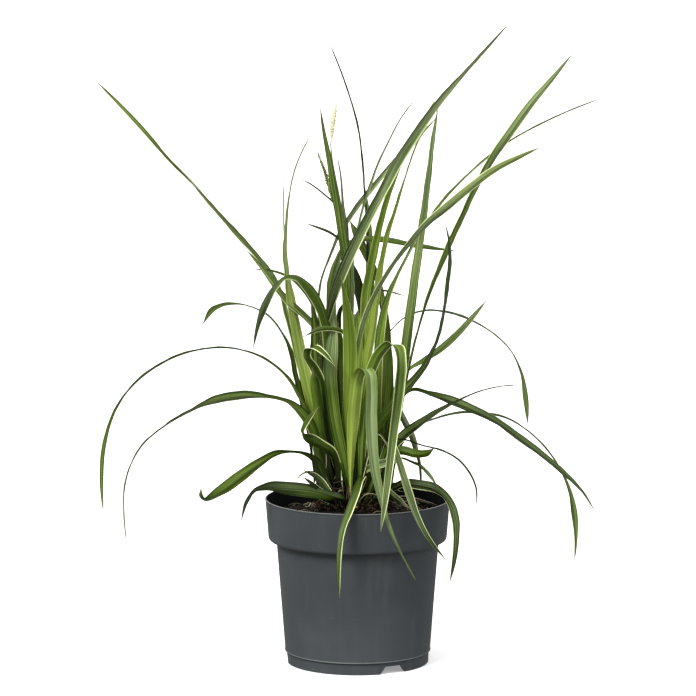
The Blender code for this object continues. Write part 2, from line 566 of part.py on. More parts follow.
def make_spike(name, stem, head, root, depths, stem_route, head_route, collection):
    """A flower stem with its spike at the top, as one tube that swells."""
    route = [(*p, 0) for p in (*stem_route, *head_route)]
    points = route_points(root, depths, route)
    curve_points = stations(smooth(points), STEM_POINTS + HEAD_POINTS, STEM_POINTS + HEAD_POINTS)
    foot_of_head = len(points) - len(head_route)
    curve = bpy.data.curves.new(name, "CURVE")
    curve.dimensions = "3D"
    curve.bevel_depth = stem * MM
    curve.bevel_resolution = 1
    curve.use_fill_caps = True
    spline = curve.splines.new("POLY")
    spline.points.add(len(curve_points) - 1)
    for spot, (place, centre, _) in zip(spline.points, curve_points):
        share = max(0.0, (place - foot_of_head) / (len(points) - 1 - foot_of_head))
        spot.co = (*centre, 1)
        spot.radius = 1 + (head / stem - 1) * math.sin(math.pi * min(0.97, share**0.8))
    return add_object(name, curve, collection, material(name, CREAM, 0.7))


def main():
    for left in list(bpy.data.objects):
        bpy.data.objects.remove(left)
    parts = bpy.data.collections.new("potted_grass")
    cutters = bpy.data.collections.new("cutters")
    bpy.context.scene.collection.children.link(parts)
    bpy.context.scene.collection.children.link(cutters)
    make_pot(parts, cutters)
    make_soil(parts)
    make_crown(parts)
    for name, spec in LEAVES.items():
        make_leaf(name, *spec, parts)
    for name, spec in SPIKES.items():
        make_spike(name, *spec, parts)


main()
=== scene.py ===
"""A clump of variegated ornamental grass in its nursery pot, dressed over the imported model.

Metres, +Z up, with the front towards -Y. Each leaf is a closed, ribbed blade drawn
through the sections of its solid. The pot is a fine turned shell over its solid, and
the soil, the tuft of old sheaths, the flower spikes and the thin wisps are built here.
"""
import math
import random
from functools import partial
from typing import NamedTuple

import bmesh
import bpy
import numpy as np
from bpy.props import FloatProperty, FloatVectorProperty, IntProperty, PointerProperty
from mathutils import Euler, Matrix, Vector, noise


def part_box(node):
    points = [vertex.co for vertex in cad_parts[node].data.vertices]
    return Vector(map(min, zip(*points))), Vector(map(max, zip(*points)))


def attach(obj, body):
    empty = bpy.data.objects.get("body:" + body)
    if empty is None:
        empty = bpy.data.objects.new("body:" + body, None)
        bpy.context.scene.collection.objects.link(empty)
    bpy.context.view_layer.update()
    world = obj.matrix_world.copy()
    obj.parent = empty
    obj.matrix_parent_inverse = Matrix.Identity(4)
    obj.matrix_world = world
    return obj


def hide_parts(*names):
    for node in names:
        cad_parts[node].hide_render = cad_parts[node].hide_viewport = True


bl_info = {
    "name": "Potted Ornamental Grass",
    "version": (1, 0, 0),
    "blender": (4, 5, 0),
    "location": "View3D > Sidebar > Grass",
    "description": "Builds a potted clump of variegated grass, with its soil, crown and stage",
    "category": "Add Mesh",
}

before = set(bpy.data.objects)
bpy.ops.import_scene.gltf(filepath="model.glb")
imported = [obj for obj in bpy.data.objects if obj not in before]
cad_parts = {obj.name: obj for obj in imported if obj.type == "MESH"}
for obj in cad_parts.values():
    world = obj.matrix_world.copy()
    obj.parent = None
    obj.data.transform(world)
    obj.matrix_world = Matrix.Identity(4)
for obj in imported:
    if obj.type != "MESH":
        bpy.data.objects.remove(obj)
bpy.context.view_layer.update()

MM = 0.001
BODY = "root"
POT_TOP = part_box("pot")[1]
SOIL_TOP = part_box("soil")[1].z
CROWN_LOW, CROWN_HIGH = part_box("crown")
TUFT = Vector(((CROWN_LOW.x + CROWN_HIGH.x) / 2, (CROWN_LOW.y + CROWN_HIGH.y) / 2, CROWN_LOW.z))

# The eye that the photo was taken from, and its frame of square cells
EYE = Vector((-0.0099, -4.428, 0.971))
EYE_TILT = math.radians(8.3)       # below level
FRAME_CELLS = 696
EYE_REACH = 4390                   # cells from the eye to the frame
SENSOR_MM = 36
EYE_TURN = Euler((math.pi / 2 - EYE_TILT, 0, 0))

NODE_ROWS = 4                      # corners in each section of a leaf's solid
GOLDEN_ANGLE = 2.39996             # from one thing to the next round a stem or a tuft


def hue(red, green, blue):
    """A screen colour, 0 to 255 a channel, in Blender's linear values."""
    return tuple(
        c / 12.92 if c <= 0.04045 else ((c + 0.055) / 1.055) ** 2.4
        for c in (red / 255, green / 255, blue / 255)
    )


def colour(name, words, red, green, blue):
    """A colour property."""
    return FloatVectorProperty(
        name=name, description=words, subtype="COLOR", size=3, min=0, max=1, default=hue(red, green, blue)
    )


def length(name, words, millimetres, least=0.0):
    """A length property."""
    return FloatProperty(
        name=name, description=words, default=millimetres * MM, min=least * MM, unit="LENGTH", precision=5
    )


def strength(name, words, value):
    """A property for the strength of a light."""
    return FloatProperty(name=name, description=words, default=value, min=0)


def amount(name, words, value):
    """A property for a number of small things."""
    return IntProperty(name=name, description=words, default=value, min=0)


class GrassStageSettings(bpy.types.PropertyGroup):
    """The floor and the light."""

    floor: colour("Floor", "Colour of the floor", 246, 246, 246)
    glow: strength("Floor Glow", "Light that comes through the floor", 0.28)
    floor_size: length("Floor Size", "Length of each side of the floor", 60000)
    sky: strength("Sky", "Strength of the even light from overhead", 1.3)
    side_sky: strength("Side Sky", "Strength of the even light from the sides", 0.36)
    key: strength("Key", "Strength of the soft light from the front left", 3.5)
    fill: strength("Fill", "Strength of the soft light from the front right", 0.35)
    softness: FloatProperty(
        name="Softness", description="Angle that each soft light fills", default=math.radians(24), subtype="ANGLE"
    )


class GrassPotSettings(bpy.types.PropertyGroup):
    """Sizes and colours of the pot's fine shell."""

    height: length("Height", "Height of the rim", POT_TOP.z / MM)
    rim_radius: length("Rim Radius", "Outside radius at the rim", POT_TOP.x / MM)
    band_foot_radius: length("Band Radius", "Outside radius of the band at its lower edge", 91.3)
    band_foot_height: length("Band Height", "Height of the band's lower edge", 127)
    body_top_radius: length("Body Top", "Outside radius of the body under the band", 83.4)
    body_foot_radius: length("Body Foot", "Outside radius of the body at the seam", 74.5)
    seam_height: length("Seam Height", "Height of the fine raised line round the foot", 12.5)
    foot_radius: length("Foot Radius", "Outside radius of the foot", 72.8)
    foot_width: length("Foot Width", "Width of the foot ring", 3)
    floor_height: length("Floor Height", "Height of the underside of the floor", 8)
    wall: length("Wall", "Thickness of the wall", 1.6)
    notch_height: length("Notch Height", "Height of the notches in the foot", 7.9)
    plastic: colour("Plastic", "Colour of the plastic", 70, 75, 78)
    plastic_deep: colour("Deep Plastic", "Colour of the plastic's darker drift", 60, 65, 68)
    # The dust colour also paints the highlight on faces that look up.
    dust: colour("Dust", "Colour of the dust and scuffs", 150, 150, 146)


class GrassSoilSettings(bpy.types.PropertyGroup):
    """The potting soil and what lies on it."""

    edge_height: length("Edge Height", "Height of the soil at the pot's wall", 150)
    grid: length("Grid", "Length of one cell of the surface", 1.3, 0.5)
    crumbs: amount("Crumbs", "Loose crumbs on the surface", 900)
    chips: amount("Chips", "Bark chips on the surface", 90)
    fibres: amount("Fibres", "Fine root fibres on the surface", 120)
    dark: colour("Dark", "Colour of the moist soil", 19, 17, 13)
    brown: colour("Brown", "Colour of the drier soil", 37, 31, 24)
    red: colour("Red", "Colour of the reddish bark", 43, 36, 30)
    pale: colour("Pale", "Colour of the pale bits and root fibres", 150, 140, 116)


class GrassLeafSettings(bpy.types.PropertyGroup):
    """How fine the blades are, and their colours."""

    row_length: length("Row Length", "Length of blade between two rows of corners", 3.2, 1)
    columns: IntProperty(name="Columns", description="Faces across a blade", default=10, min=4, max=24)
    thickness: length("Thickness", "Thickness of a blade at its midrib", 0.55)
    wave: length("Wave", "How far the edges wave out of line", 0.3)
    margin: length("Edge Width", "Width of the widest cream edge", 1.05)
    # Painted light in the tones: bright and lime are light shining through a young leaf, dark is shade.
    # grey, bloom, soft and silver paint a sheen of light reflected from overhead into the colour.
    bright: colour("Bright", "Young leaf with the light in it", 158, 182, 76)
    fresh: colour("Fresh", "Young leaf", 126, 150, 52)
    green: colour("Green", "Full-grown leaf", 98, 122, 34)
    olive: colour("Olive", "Old leaf", 74, 95, 22)
    dark: colour("Dark", "Shaded leaf", 42, 59, 11)
    grey: colour("Grey", "Bloom on the inner face", 126, 144, 96)
    bloom: colour("Bloom", "Bloom on the darker inner face", 90, 108, 62)
    soft: colour("Soft", "Full-grown leaf with a little bloom", 112, 130, 70)
    lime: colour("Lime", "Young leaf against the light", 176, 198, 104)
    silver: colour("Silver", "Bloom with the light on it", 158, 174, 124)
    cream: colour("Cream", "The pale edges and stripes", 230, 241, 178)
    sheath: colour("Sheath", "The foot of a blade, in the tuft", 104, 84, 46)
    tip: colour("Tip", "The dry point of a blade", 140, 132, 100)


class GrassCrownSettings(bpy.types.PropertyGroup):
    """The tuft of old sheaths that the leaves grow from."""

    sheaths: amount("Sheaths", "Old sheaths round the leaves", 70)
    fibres: amount("Fibres", "Loose fibres of old sheaths", 150)
    scraps: amount("Scraps", "Scraps of bark heaped on the tuft", 620)
    bark: colour("Bark", "Old sheath, dark", 48, 35, 24)
    ochre: colour("Ochre", "Old sheath, brown", 84, 60, 36)
    straw: colour("Straw", "Dry sheath", 108, 94, 64)
    red: colour("Red", "Reddish scrap of bark", 62, 46, 38)
    pale: colour("Pale", "Bleached root", 176, 174, 146)
    grey: colour("Grey", "Old stem", 126, 132, 104)
    live: colour("Live", "Foot of a live sheath", 70, 80, 36)


class GrassSpikeSettings(bpy.types.PropertyGroup):
    """The flower spikes."""

    stem: colour("Stem", "Colour of the stems", 82, 88, 54)
    cream: colour("Cream", "Colour of the open flowers", 230, 226, 190)
    green: colour("Green", "Colour of the beads", 128, 144, 66)
    tan: colour("Tan", "Colour of the scales between them", 98, 98, 48)


# ---------------------------------------------------------------- materials


def node(tree, kind, inputs=None, **settings):
    """A node with its settings and inputs, each a value or a socket that feeds it."""
    made = tree.nodes.new(kind)
    for name, value in settings.items():
        setattr(made, name, value)
    for name, value in (inputs or {}).items():
        if isinstance(value, bpy.types.NodeSocket):
            tree.links.new(value, made.inputs[name])
        else:
            made.inputs[name].default_value = value
    return made


def number(tree, operation, first, second=0.0, third=0.0):
    """The result of one operation on numbers."""
    return node(tree, "ShaderNodeMath", {0: first, 1: second, 2: third}, operation=operation).outputs[0]


def read(tree, name):
    """The number that a mesh attribute holds."""
    return node(tree, "ShaderNodeAttribute", attribute_name=name).outputs["Fac"]


def rise(tree, value, low, high, to_low=0.0, to_high=1.0):
    """The value turned smoothly from low..high into to_low..to_high."""
    inputs = {"Value": value, "From Min": low, "From Max": high, "To Min": to_low, "To Max": to_high}
    return node(tree, "ShaderNodeMapRange", inputs, interpolation_type="SMOOTHSTEP").outputs[0]


def blend(tree, share, first, second, way="MIX"):
    """Two colours mixed."""
    made = node(tree, "ShaderNodeMix", data_type="RGBA", blend_type=way)
    for place, value in ((0, share), (6, first), (7, second)):
        if isinstance(value, bpy.types.NodeSocket):
            tree.links.new(value, made.inputs[place])
        else:
            made.inputs[place].default_value = (*value, 1) if place else value
    return made.outputs[2]


def grain(tree, place, scale, detail=3.0, roughness=0.55):
    """Soft noise at a place."""
    inputs = {"Vector": place, "Scale": scale, "Detail": detail, "Roughness": roughness}
    return node(tree, "ShaderNodeTexNoise", inputs).outputs["Fac"]


def spot(tree, across, along, out=0.0):
    """A place given by three numbers."""
    return node(tree, "ShaderNodeCombineXYZ", {"X": across, "Y": along, "Z": out}).outputs[0]


def bump(tree, heights):
    """The surface raised by several (height, distance) pairs."""
    normal = None
    for height, distance in heights:
        inputs = {"Height": height, "Distance": distance, "Strength": 1.0}
        if normal:
            inputs["Normal"] = normal
        normal = node(tree, "ShaderNodeBump", inputs).outputs[0]
    return normal


def surface(name, specular=0.5):
    """A new material, as (material, its node tree, its shader)."""
    material = bpy.data.materials.new(name)
    material.use_nodes = True
    shader = material.node_tree.nodes["Principled BSDF"]
    shader.inputs["Specular IOR Level"].default_value = specular
    return material, material.node_tree, shader


def finish(tree, shader, base, roughness, heights=()):
    """Feeds a shader its colour, roughness and bumps."""
    tree.links.new(base, shader.inputs["Base Color"])
    tree.links.new(roughness, shader.inputs["Roughness"])
    if heights:
        tree.links.new(bump(tree, heights), shader.inputs["Normal"])


def times(tree, base, factors):
    """A colour with its channels multiplied."""
    return blend(tree, 1.0, base, factors, "MULTIPLY")


def scaled(tree, place, scale):
    """A place with its axes scaled, which stretches or squeezes the noise read there."""
    return node(tree, "ShaderNodeMapping", {"Vector": place, "Scale": scale}).outputs[0]


def tint_of(tree):
    """The colour that the mesh carries."""
    return node(tree, "ShaderNodeAttribute", attribute_name="body").outputs["Color"]


def object_place(tree):
    """The place on the piece, in metres."""
    return node(tree, "ShaderNodeTexCoord").outputs["Object"]


# How the parts of a blade differ from its own colour, channel by channel. GROOVE_SHADE and RIM_SHADE are painted shade
DEEP_STRIPE, PALE_STRIPE = (0.36, 0.46, 0.28), (1.6, 1.48, 1.65)
VEIN_SHADE, GROOVE_SHADE, RIM_SHADE = (0.55, 0.62, 0.5), (0.4, 0.44, 0.36), (0.3, 0.4, 0.24)
RIM_LIME = (2.1, 1.85, 2.0)
BROWN_SPOT = hue(96, 78, 40)
RIM_BLUR = 0.3 * MM                # over which the cream edge fades
SEED_SHIFT = 57.0                  # how far apart two blades read the noise


def leaf_material(settings):
    """Living blade: lengthwise stripes and veins, cream edges, a browned point, and painted shade and light."""
    material, tree, shader = surface("leaf_blade", 0.22)
    across, run, seed, edge = (read(tree, name) for name in ("across", "run", "seed", "edge"))
    body, contrast = tint_of(tree), read(tree, "contrast")
    side, abreast = number(tree, "ABSOLUTE", across), number(tree, "MULTIPLY", across, read(tree, "breadth"))
    shift = number(tree, "MULTIPLY", seed, SEED_SHIFT)

    def strands(finer, longer, detail=2.0):
        """Noise drawn out along the blade, by how fine it is across and along."""
        sideways = number(tree, "MULTIPLY_ADD", abreast, finer, shift)
        return grain(tree, spot(tree, sideways, number(tree, "MULTIPLY", run, longer)), 1.0, detail, 0.6)

    broad, middle, fine = strands(400.0, 7.0), strands(850.0, 9.0), strands(2400.0, 20.0)
    veins = number(tree, "SINE", number(tree, "MULTIPLY", across, read(tree, "veins")))
    deep, pale = times(tree, body, DEEP_STRIPE), times(tree, body, PALE_STRIPE)

    tone = blend(tree, rise(tree, broad, 0.42, 0.55), deep, body)
    tone = blend(tree, rise(tree, middle, 0.5, 0.6, 0.0, 0.85), tone, pale)
    tone = blend(tree, rise(tree, fine, 0.3, 0.5, 0.5, 0.0), tone, deep)
    tone = blend(tree, contrast, body, tone)
    tone = blend(tree, rise(tree, veins, 0.1, 1.0, 0.0, 0.25), tone, times(tree, tone, VEIN_SHADE))
    # Painted light and shade: one half of the fold lighter, the other darker.
    painted_fold_shading = number(tree, "MULTIPLY_ADD", rise(tree, across, -0.05, 0.05, -1.0, 1.0), read(tree, "half"), 1.0)
    tone = node(tree, "ShaderNodeVectorMath", {0: tone, "Scale": painted_fold_shading}, operation="SCALE").outputs[0]
    striped = number(tree, "MULTIPLY", rise(tree, middle, 0.56, 0.66), read(tree, "stripes"))
    tone = blend(tree, striped, tone, settings.cream)
    crest = rise(tree, side, 0.03, 0.12, 1.0, 0.0)
    tone = blend(tree, number(tree, "MULTIPLY", crest, read(tree, "rib")), tone, settings.cream)
    # The groove beside the midrib darkened: painted shade.
    sunk = number(tree, "MULTIPLY", crest, read(tree, "groove"))
    tone = blend(tree, sunk, tone, times(tree, tone, GROOVE_SHADE))

    margin, reach = read(tree, "margin"), read(tree, "reach")
    ragged = number(tree, "ADD", edge, rise(tree, fine, 0.3, 0.7, -0.14 * MM, 0.14 * MM))
    inside = number(tree, "DIVIDE", number(tree, "SUBTRACT", reach, ragged), RIM_BLUR)
    shown = number(tree, "MULTIPLY", rise(tree, inside, -0.5, 0.5), rise(tree, margin, 0.15, 0.5))
    # Edges without cream darkened with RIM_SHADE: a painted dark outline of edge shade.
    outer = number(tree, "MAXIMUM", rise(tree, ragged, 0.3 * MM, 1.0 * MM, 1.0, 0.0), rise(tree, side, 0.6, 0.85))
    without = rise(tree, margin, 0.3, 0.6, 1.0, 0.0)
    plain = number(tree, "MULTIPLY", without, rise(tree, contrast, 0.3, 0.9, 0.3, 0.85))
    tone = blend(tree, number(tree, "MULTIPLY", outer, plain), tone, times(tree, tone, RIM_SHADE))
    rim = blend(tree, rise(tree, margin, 0.35, 0.85), times(tree, body, RIM_LIME), settings.cream)
    tone = blend(tree, shown, tone, rim)
    sideways = number(tree, "MULTIPLY_ADD", across, 1.5, shift)
    spots = grain(tree, spot(tree, sideways, number(tree, "MULTIPLY", run, 110.0)), 2.4, 2.0, 0.7)
    tone = blend(tree, rise(tree, spots, 0.7, 0.78, 0.0, 0.5), tone, BROWN_SPOT)
    dry = number(tree, "MULTIPLY", read(tree, "dry"), rise(tree, fine, 0.25, 0.6, 0.55, 1.0))
    tone = blend(tree, dry, tone, settings.tip)

    rough = rise(tree, middle, 0.3, 0.7, 0.4, 0.55)
    finish(tree, shader, tone, rough, [(veins, 0.05 * MM), (broad, 0.3 * MM), (fine, 0.1 * MM)])
    return material


def plastic_material(name, settings, shade=1.0):
    """Moulded grey plastic: a slow drift of tone, flow streaks, fine grain, dust, scuffs and a painted highlight on
    top.
    """
    material, tree, shader = surface(name, 0.32 * shade)
    place = object_place(tree)
    drift = grain(tree, place, 9.0, 3.0)
    streak = grain(tree, scaled(tree, place, (1, 1, 0.08)), 70.0, 4.0, 0.6)
    rings = grain(tree, scaled(tree, place, (0.05, 0.05, 1)), 320.0, 3.0, 0.6)
    micro = grain(tree, place, 1600.0, 2.0, 0.6)
    base = blend(tree, rise(tree, drift, 0.35, 0.65), settings.plastic_deep, settings.plastic)
    base = blend(tree, rise(tree, streak, 0.5, 0.8, 0.0, 0.07), base, settings.dust)
    base = blend(tree, rise(tree, micro, 0.35, 0.7, 0.0, 0.1), base, hue(40, 43, 45))
    # Faces that look up are lightened with the dust colour: settled dust and a painted highlight.
    facing = node(tree, "ShaderNodeNewGeometry").outputs["Normal"]
    up = node(tree, "ShaderNodeSeparateXYZ", {0: facing}).outputs[2]
    speck = grain(tree, place, 420.0, 3.0, 0.7)
    dust_and_highlight = number(tree, "MULTIPLY", rise(tree, up, 0.25, 0.9, 0.0, 0.8), rise(tree, speck, 0.3, 0.6, 0.4, 1.0))
    base = blend(tree, dust_and_highlight, base, settings.dust)
    scuffs = grain(tree, scaled(tree, place, (30, 30, 260)), 1.0, 3.0, 0.7)
    height = node(tree, "ShaderNodeSeparateXYZ", {0: place}).outputs[2]
    low = rise(tree, height, 0.0, 30 * MM, 1.0, 0.25)
    worn = number(tree, "MULTIPLY", rise(tree, scuffs, 0.68, 0.78, 0.0, 0.35), low)
    base = blend(tree, worn, base, settings.dust)
    # A shade below one darkens the colour and the reflections: painted shade.
    if shade < 1:
        base = times(tree, base, (shade, shade * 0.95, shade * 0.9))
    rough = number(tree, "ADD", rise(tree, drift, 0.3, 0.7, 0.46, 0.56), rise(tree, speck, 0.4, 0.7, 0.0, 0.08))
    finish(tree, shader, base, rough, [(rings, 0.035 * MM), (drift, 0.3 * MM), (micro, 0.025 * MM)])
    return material


def soil_material(settings):
    """Peat with bark: crumbs of several browns, some nearly black, and a rough face."""
    material, tree, shader = surface("potting_soil", 0.08)
    place = object_place(tree)
    lumps = node(tree, "ShaderNodeTexVoronoi", {"Vector": place, "Scale": 420.0, "Randomness": 1.0})
    cell = node(tree, "ShaderNodeSeparateColor", {0: lumps.outputs["Color"]}).outputs[0]
    drift = grain(tree, place, 60.0, 4.0, 0.6)
    fine = grain(tree, place, 900.0, 4.0, 0.7)
    base = blend(tree, rise(tree, drift, 0.35, 0.7, 0.0, 0.7), settings.dark, settings.brown)
    base = blend(tree, rise(tree, cell, 0.8, 0.86, 0.0, 0.5), base, settings.red)
    base = blend(tree, rise(tree, cell, 0.0, 0.3, 0.75, 0.0), base, hue(16, 12, 10))
    base = blend(tree, rise(tree, fine, 0.66, 0.8, 0.0, 0.25), base, settings.pale)
    base = times(tree, base, blend(tree, rise(tree, fine, 0.3, 0.6), (0.5, 0.5, 0.5), (1, 1, 1)))
    rough = rise(tree, fine, 0.3, 0.7, 0.78, 0.98)
    finish(tree, shader, base, rough, [(lumps.outputs["Distance"], 1.2 * MM), (fine, 0.7 * MM)])
    return material


def bits_material(name, roughness, specular=0.3, streak=0.0):
    """Small loose things, each in the tint that its corners carry."""
    material, tree, shader = surface(name, specular)
    place, body = object_place(tree), tint_of(tree)
    fine = grain(tree, place, 1300.0, 3.0, 0.65)
    long = grain(tree, scaled(tree, place, (1, 1, 0.2)), 900.0, 3.0)
    base = blend(tree, rise(tree, fine, 0.35, 0.68, 0.0, 0.6), body, times(tree, body, (0.45, 0.42, 0.4)))
    base = blend(tree, rise(tree, long, 0.5, 0.7, 0.0, streak), base, times(tree, base, (1.7, 1.6, 1.4)))
    rough = rise(tree, fine, 0.3, 0.7, roughness - 0.08, roughness + 0.08)
    finish(tree, shader, base, rough, [(fine, 0.25 * MM), (long, 0.12 * MM)])
    return material


# ---------------------------------------------------------------- meshes


def add_piece(name, mesh, materials, slot=None, stands_for=()):
    """An object of the part, which rides on the body."""
    made = bpy.data.objects.new(name, mesh)
    bpy.context.scene.collection.objects.link(made)
    for material in materials:
        mesh.materials.append(material)
    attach(made, BODY)
    if stands_for:
        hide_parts(*stands_for)
    return made


def baked(form, name):
    """A mesh of what the bmesh holds, which is freed."""
    mesh = bpy.data.meshes.new(name)
    form.to_mesh(mesh)
    form.free()
    return mesh


def store(mesh, name, kind, values):
    """Keeps one value a corner in the mesh, a number or a colour."""
    layer = mesh.attributes.new(name, kind, "POINT")
    field = "color" if kind == "FLOAT_COLOR" else "value"
    layer.data.foreach_set(field, np.ascontiguousarray(values, np.float32).ravel())


def smoothed(mesh):
    """Shades every face of the mesh smoothly."""
    mesh.polygons.foreach_set("use_smooth", np.ones(len(mesh.polygons), bool))


class Heap:
    """Corners, faces and tints of many small things that make one piece."""

    def __init__(self):
        self.corners, self.faces, self.tints = [], [], []

    def add(self, corners, faces, tint):
        """Puts one thing on the heap."""
        first = len(self.corners)
        self.corners += [tuple(c) for c in corners]
        self.faces += [[first + i for i in face] for face in faces]
        self.tints += [(*tint, 1)] * len(corners)

    def piece(self, name, material, slot, stands_for=(), smooth=True):
        """One piece of all that is on the heap."""
        mesh = bpy.data.meshes.new(name)
        mesh.from_pydata(self.corners, [], self.faces)
        store(mesh, "body", "FLOAT_COLOR", self.tints)
        if smooth:
            smoothed(mesh)
        return add_piece(name, mesh, [material], slot, stands_for)


def ring(reach, count):
    """Places (x, y), evenly spaced round the pot's axis."""
    angles = [math.tau * i / count for i in range(count)]
    return [(reach * math.cos(angle), reach * math.sin(angle)) for angle in angles]


def heading(bearing):
    """The level direction at a bearing."""
    return Vector((math.cos(bearing), math.sin(bearing), 0))


def direction(points, i):
    """The way that a line through points runs at one of them."""
    return (points[min(i + 1, len(points) - 1)] - points[max(i - 1, 0)]).normalized()


def tube(points, radii, sides=6):
    """A closed tube through points, as (corners, faces)."""
    corners, faces = [], []
    side = None
    for i, (point, radius) in enumerate(zip(points, radii)):
        along = direction(points, i)
        side = (along.orthogonal() if side is None else side - along * side.dot(along)).normalized()
        other = along.cross(side)
        for j in range(sides):
            angle = 2 * math.pi * j / sides
            corners.append(point + (side * math.cos(angle) + other * math.sin(angle)) * radius)
    for i in range(len(points) - 1):
        for j in range(sides):
            k = (j + 1) % sides
            faces.append((i * sides + j, i * sides + k, (i + 1) * sides + k, (i + 1) * sides + j))
    faces.append(tuple(reversed(range(sides))))
    faces.append(tuple(range(len(corners) - sides, len(corners))))
    return corners, faces


def lump(rng, size, rough=0.25):
    """An uneven lump about the origin, as (corners, faces)."""
    form = bmesh.new()
    bmesh.ops.create_icosphere(form, subdivisions=1, radius=1)
    shift = Vector((rng.uniform(0, 99), rng.uniform(0, 99), rng.uniform(0, 99)))
    turn = Euler([rng.uniform(0, math.tau) for _ in range(3)]).to_matrix()
    corners = []
    for vertex in form.verts:
        reach = 1 + rough * noise.noise(vertex.co * 1.7 + shift) * 2
        corners.append(turn @ Vector([c * s * reach for c, s in zip(vertex.co, size)]))
    faces = [[v.index for v in face.verts] for face in form.faces]
    form.free()
    return corners, faces


# ---------------------------------------------------------------- blades


def welded(name):
    """A node's corners, each once, and its triangles by them."""
    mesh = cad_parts[name].data
    seen, index = {}, []
    for vertex in mesh.vertices:
        index.append(seen.setdefault(tuple(round(c, 6) for c in vertex.co), len(seen)))
    return [Vector(c) for c in seen], [[index[i] for i in face.vertices] for face in mesh.polygons]


def levels(start, near):
    """The corners in rows, by how many edges they lie from the first row."""
    rows, seen = [set(start)], set(start)
    while True:
        row = {n for i in rows[-1] for n in near[i]} - seen
        if not row:
            return rows
        rows.append(row)
        seen |= row


def sections(name):
    """A leaf solid's sections from its foot to its tip, as (left edge, midrib, right edge)."""
    corners, faces = welded(name)
    near, edges = [set() for _ in corners], {}
    for face in faces:
        for a, b in zip(face, face[1:] + face[:1]):
            near[a].add(b)
            near[b].add(a)
            edges.setdefault(frozenset((a, b)), []).append(face)
    ends = [set(one) | set(other) for one, other in edges.values()]
    ends.sort(key=lambda end: sum((corners[i] - TUFT).length for i in end))
    for end in ends:
        rows = levels(end, near)
        if all(len(row) == NODE_ROWS for row in rows):
            break
    else:
        raise ValueError(f"{name} has no row of sections")
    rails = []
    for row in rows:
        spots = [corners[i] for i in row]
        pairs = [(p, q) for i, p in enumerate(spots) for q in spots[i + 1:]]
        left, right = max(pairs, key=lambda pair: (pair[0] - pair[1]).length)
        rest = [s for s in spots if s is not left and s is not right]
        rails.append([left, (rest[0] + rest[1]) / 2, right])
    for i, rail in enumerate(rails):
        along = rails[min(i + 1, len(rails) - 1)][1] - rails[max(i - 1, 0)][1]
        up = (rail[0] + rail[2]) / 2 - rail[1]
        if (rail[2] - rail[0]).cross(along).dot(up) < 0:
            rail.reverse()
    return rails


def drawn(rails, spacing):
    """Smooth rails through the sections, evenly spaced, as an array of rows."""
    known = np.array([[list(p) for p in rail] for rail in rails]).reshape(len(rails), -1)
    steps = np.linalg.norm(np.diff(known[:, 3:6], axis=0), axis=1)
    at = np.concatenate([[0], np.cumsum(steps)])
    slopes = np.diff(known, axis=0) / steps[:, None]
    turns = np.empty_like(known)
    turns[0], turns[-1] = slopes[0], slopes[-1]
    turns[1:-1] = (slopes[:-1] * steps[1:, None] + slopes[1:] * steps[:-1, None]) / (steps[1:] + steps[:-1])[:, None]
    count = max(6, int(round(at[-1] / spacing)))
    new = np.linspace(0, at[-1], count + 1)
    low = np.clip(np.searchsorted(at, new, side="right") - 1, 0, len(steps) - 1)
    step = steps[low][:, None]
    t = ((new - at[low]) / steps[low])[:, None]
    rows = (
        known[low] * (1 + 2 * t) * (1 - t) ** 2
        + known[low + 1] * t**2 * (3 - 2 * t)
        + turns[low] * step * t * (1 - t) ** 2
        - turns[low + 1] * step * t**2 * (1 - t)
    )
    return rows.reshape(-1, 3, 3), new


def unit(vectors):
    """Each row at length one."""
    return vectors / np.maximum(np.linalg.norm(vectors, axis=-1, keepdims=True), 1e-12)


def tones(settings, words, share):
    """The colour along a blade: its tones one after another, a little darker at both ends."""
    stops = np.array([getattr(settings, word) for word in words.split()])
    places = 0.3 + 0.3 * np.arange(len(stops))
    stops, places = np.vstack([stops[:1] * 0.9, stops, stops[-1:] * 0.9]), [0, *places, 1.01]
    return np.stack([np.interp(share, places, stops[:, c]) for c in range(3)], axis=1)


class Look(NamedTuple):
    """A blade's finish and its fit on its solid. Left and right are as seen from the front."""

    tones: str                  # one to three, from its foot to its tip, then after a stroke its outer face's
    left: float                 # strength of the cream on its left edge
    right: float                # and on its right edge
    stripes: float = 0.0        # strength of its cream stripes
    # lit is painted shade: its colour darkens towards its foot, as if shaded by the clump.
    lit: float = 0.2            # share of its colour that it keeps at its foot, deep in the clump
    # half is painted light: one side of its fold lighter, the other darker.
    half: float = 0.0           # how much lighter its right half is than its middle tone
    full: float = 1.0           # how wide it is beside its solid
    folded: tuple = (0.55, 45)  # share of its width that shows at its foot, and how far up in mm it has opened

    def faces(self):
        """The tones of its inner face and of its outer face."""
        inner, _, outer = self.tones.partition(" / ")
        return inner, outer or inner


# A blade's form. Shares are of its own width.
TIP_SHARE = 0.12                # what its taper leaves at the very tip
SLIM, SLIMMEST, WHOLE_WIDTH = 0.72, 0.75, 24 * MM       # shares shown of a narrow blade, and where it shows in full
ADDED_WIDTH = 0.4 * MM
THIN_TIP, THIN_BLADE, THIN_RUN = 0.5, 0.6, 25 * MM      # least width in mm at its tip, what joins it below, and where
FOLD_RISE = 0.42                # how far its edges rise where it is folded
KEEL, KEEL_ROUND, CUP, MIDRIB = 0.16, 0.03, 0.03 * 4, 0.07      # shares that give its section its curve
WAVE_PITCH, WAVE_FROM = (38, 64), 50 * MM       # in mm, and how far up its edges begin to wave
RIDGE, RIDGE_WIDTH, CREST_WIDTH = 0.3 * MM, 0.14, 0.12          # the midrib's, seen from below and from above
EDGE_THIN = 0.68                # how much thinner its edges are than its midrib
ROD, ROD_LOSS, ROD_MOST = 1.6 * MM, 0.35, 0.9 * MM      # a blade as thin as a thread is as thick as it is wide
SHADOW_FROM, SHADOW_RUN = 30 * MM, 80 * MM      # where the clump's shade on it begins to end, and over what run
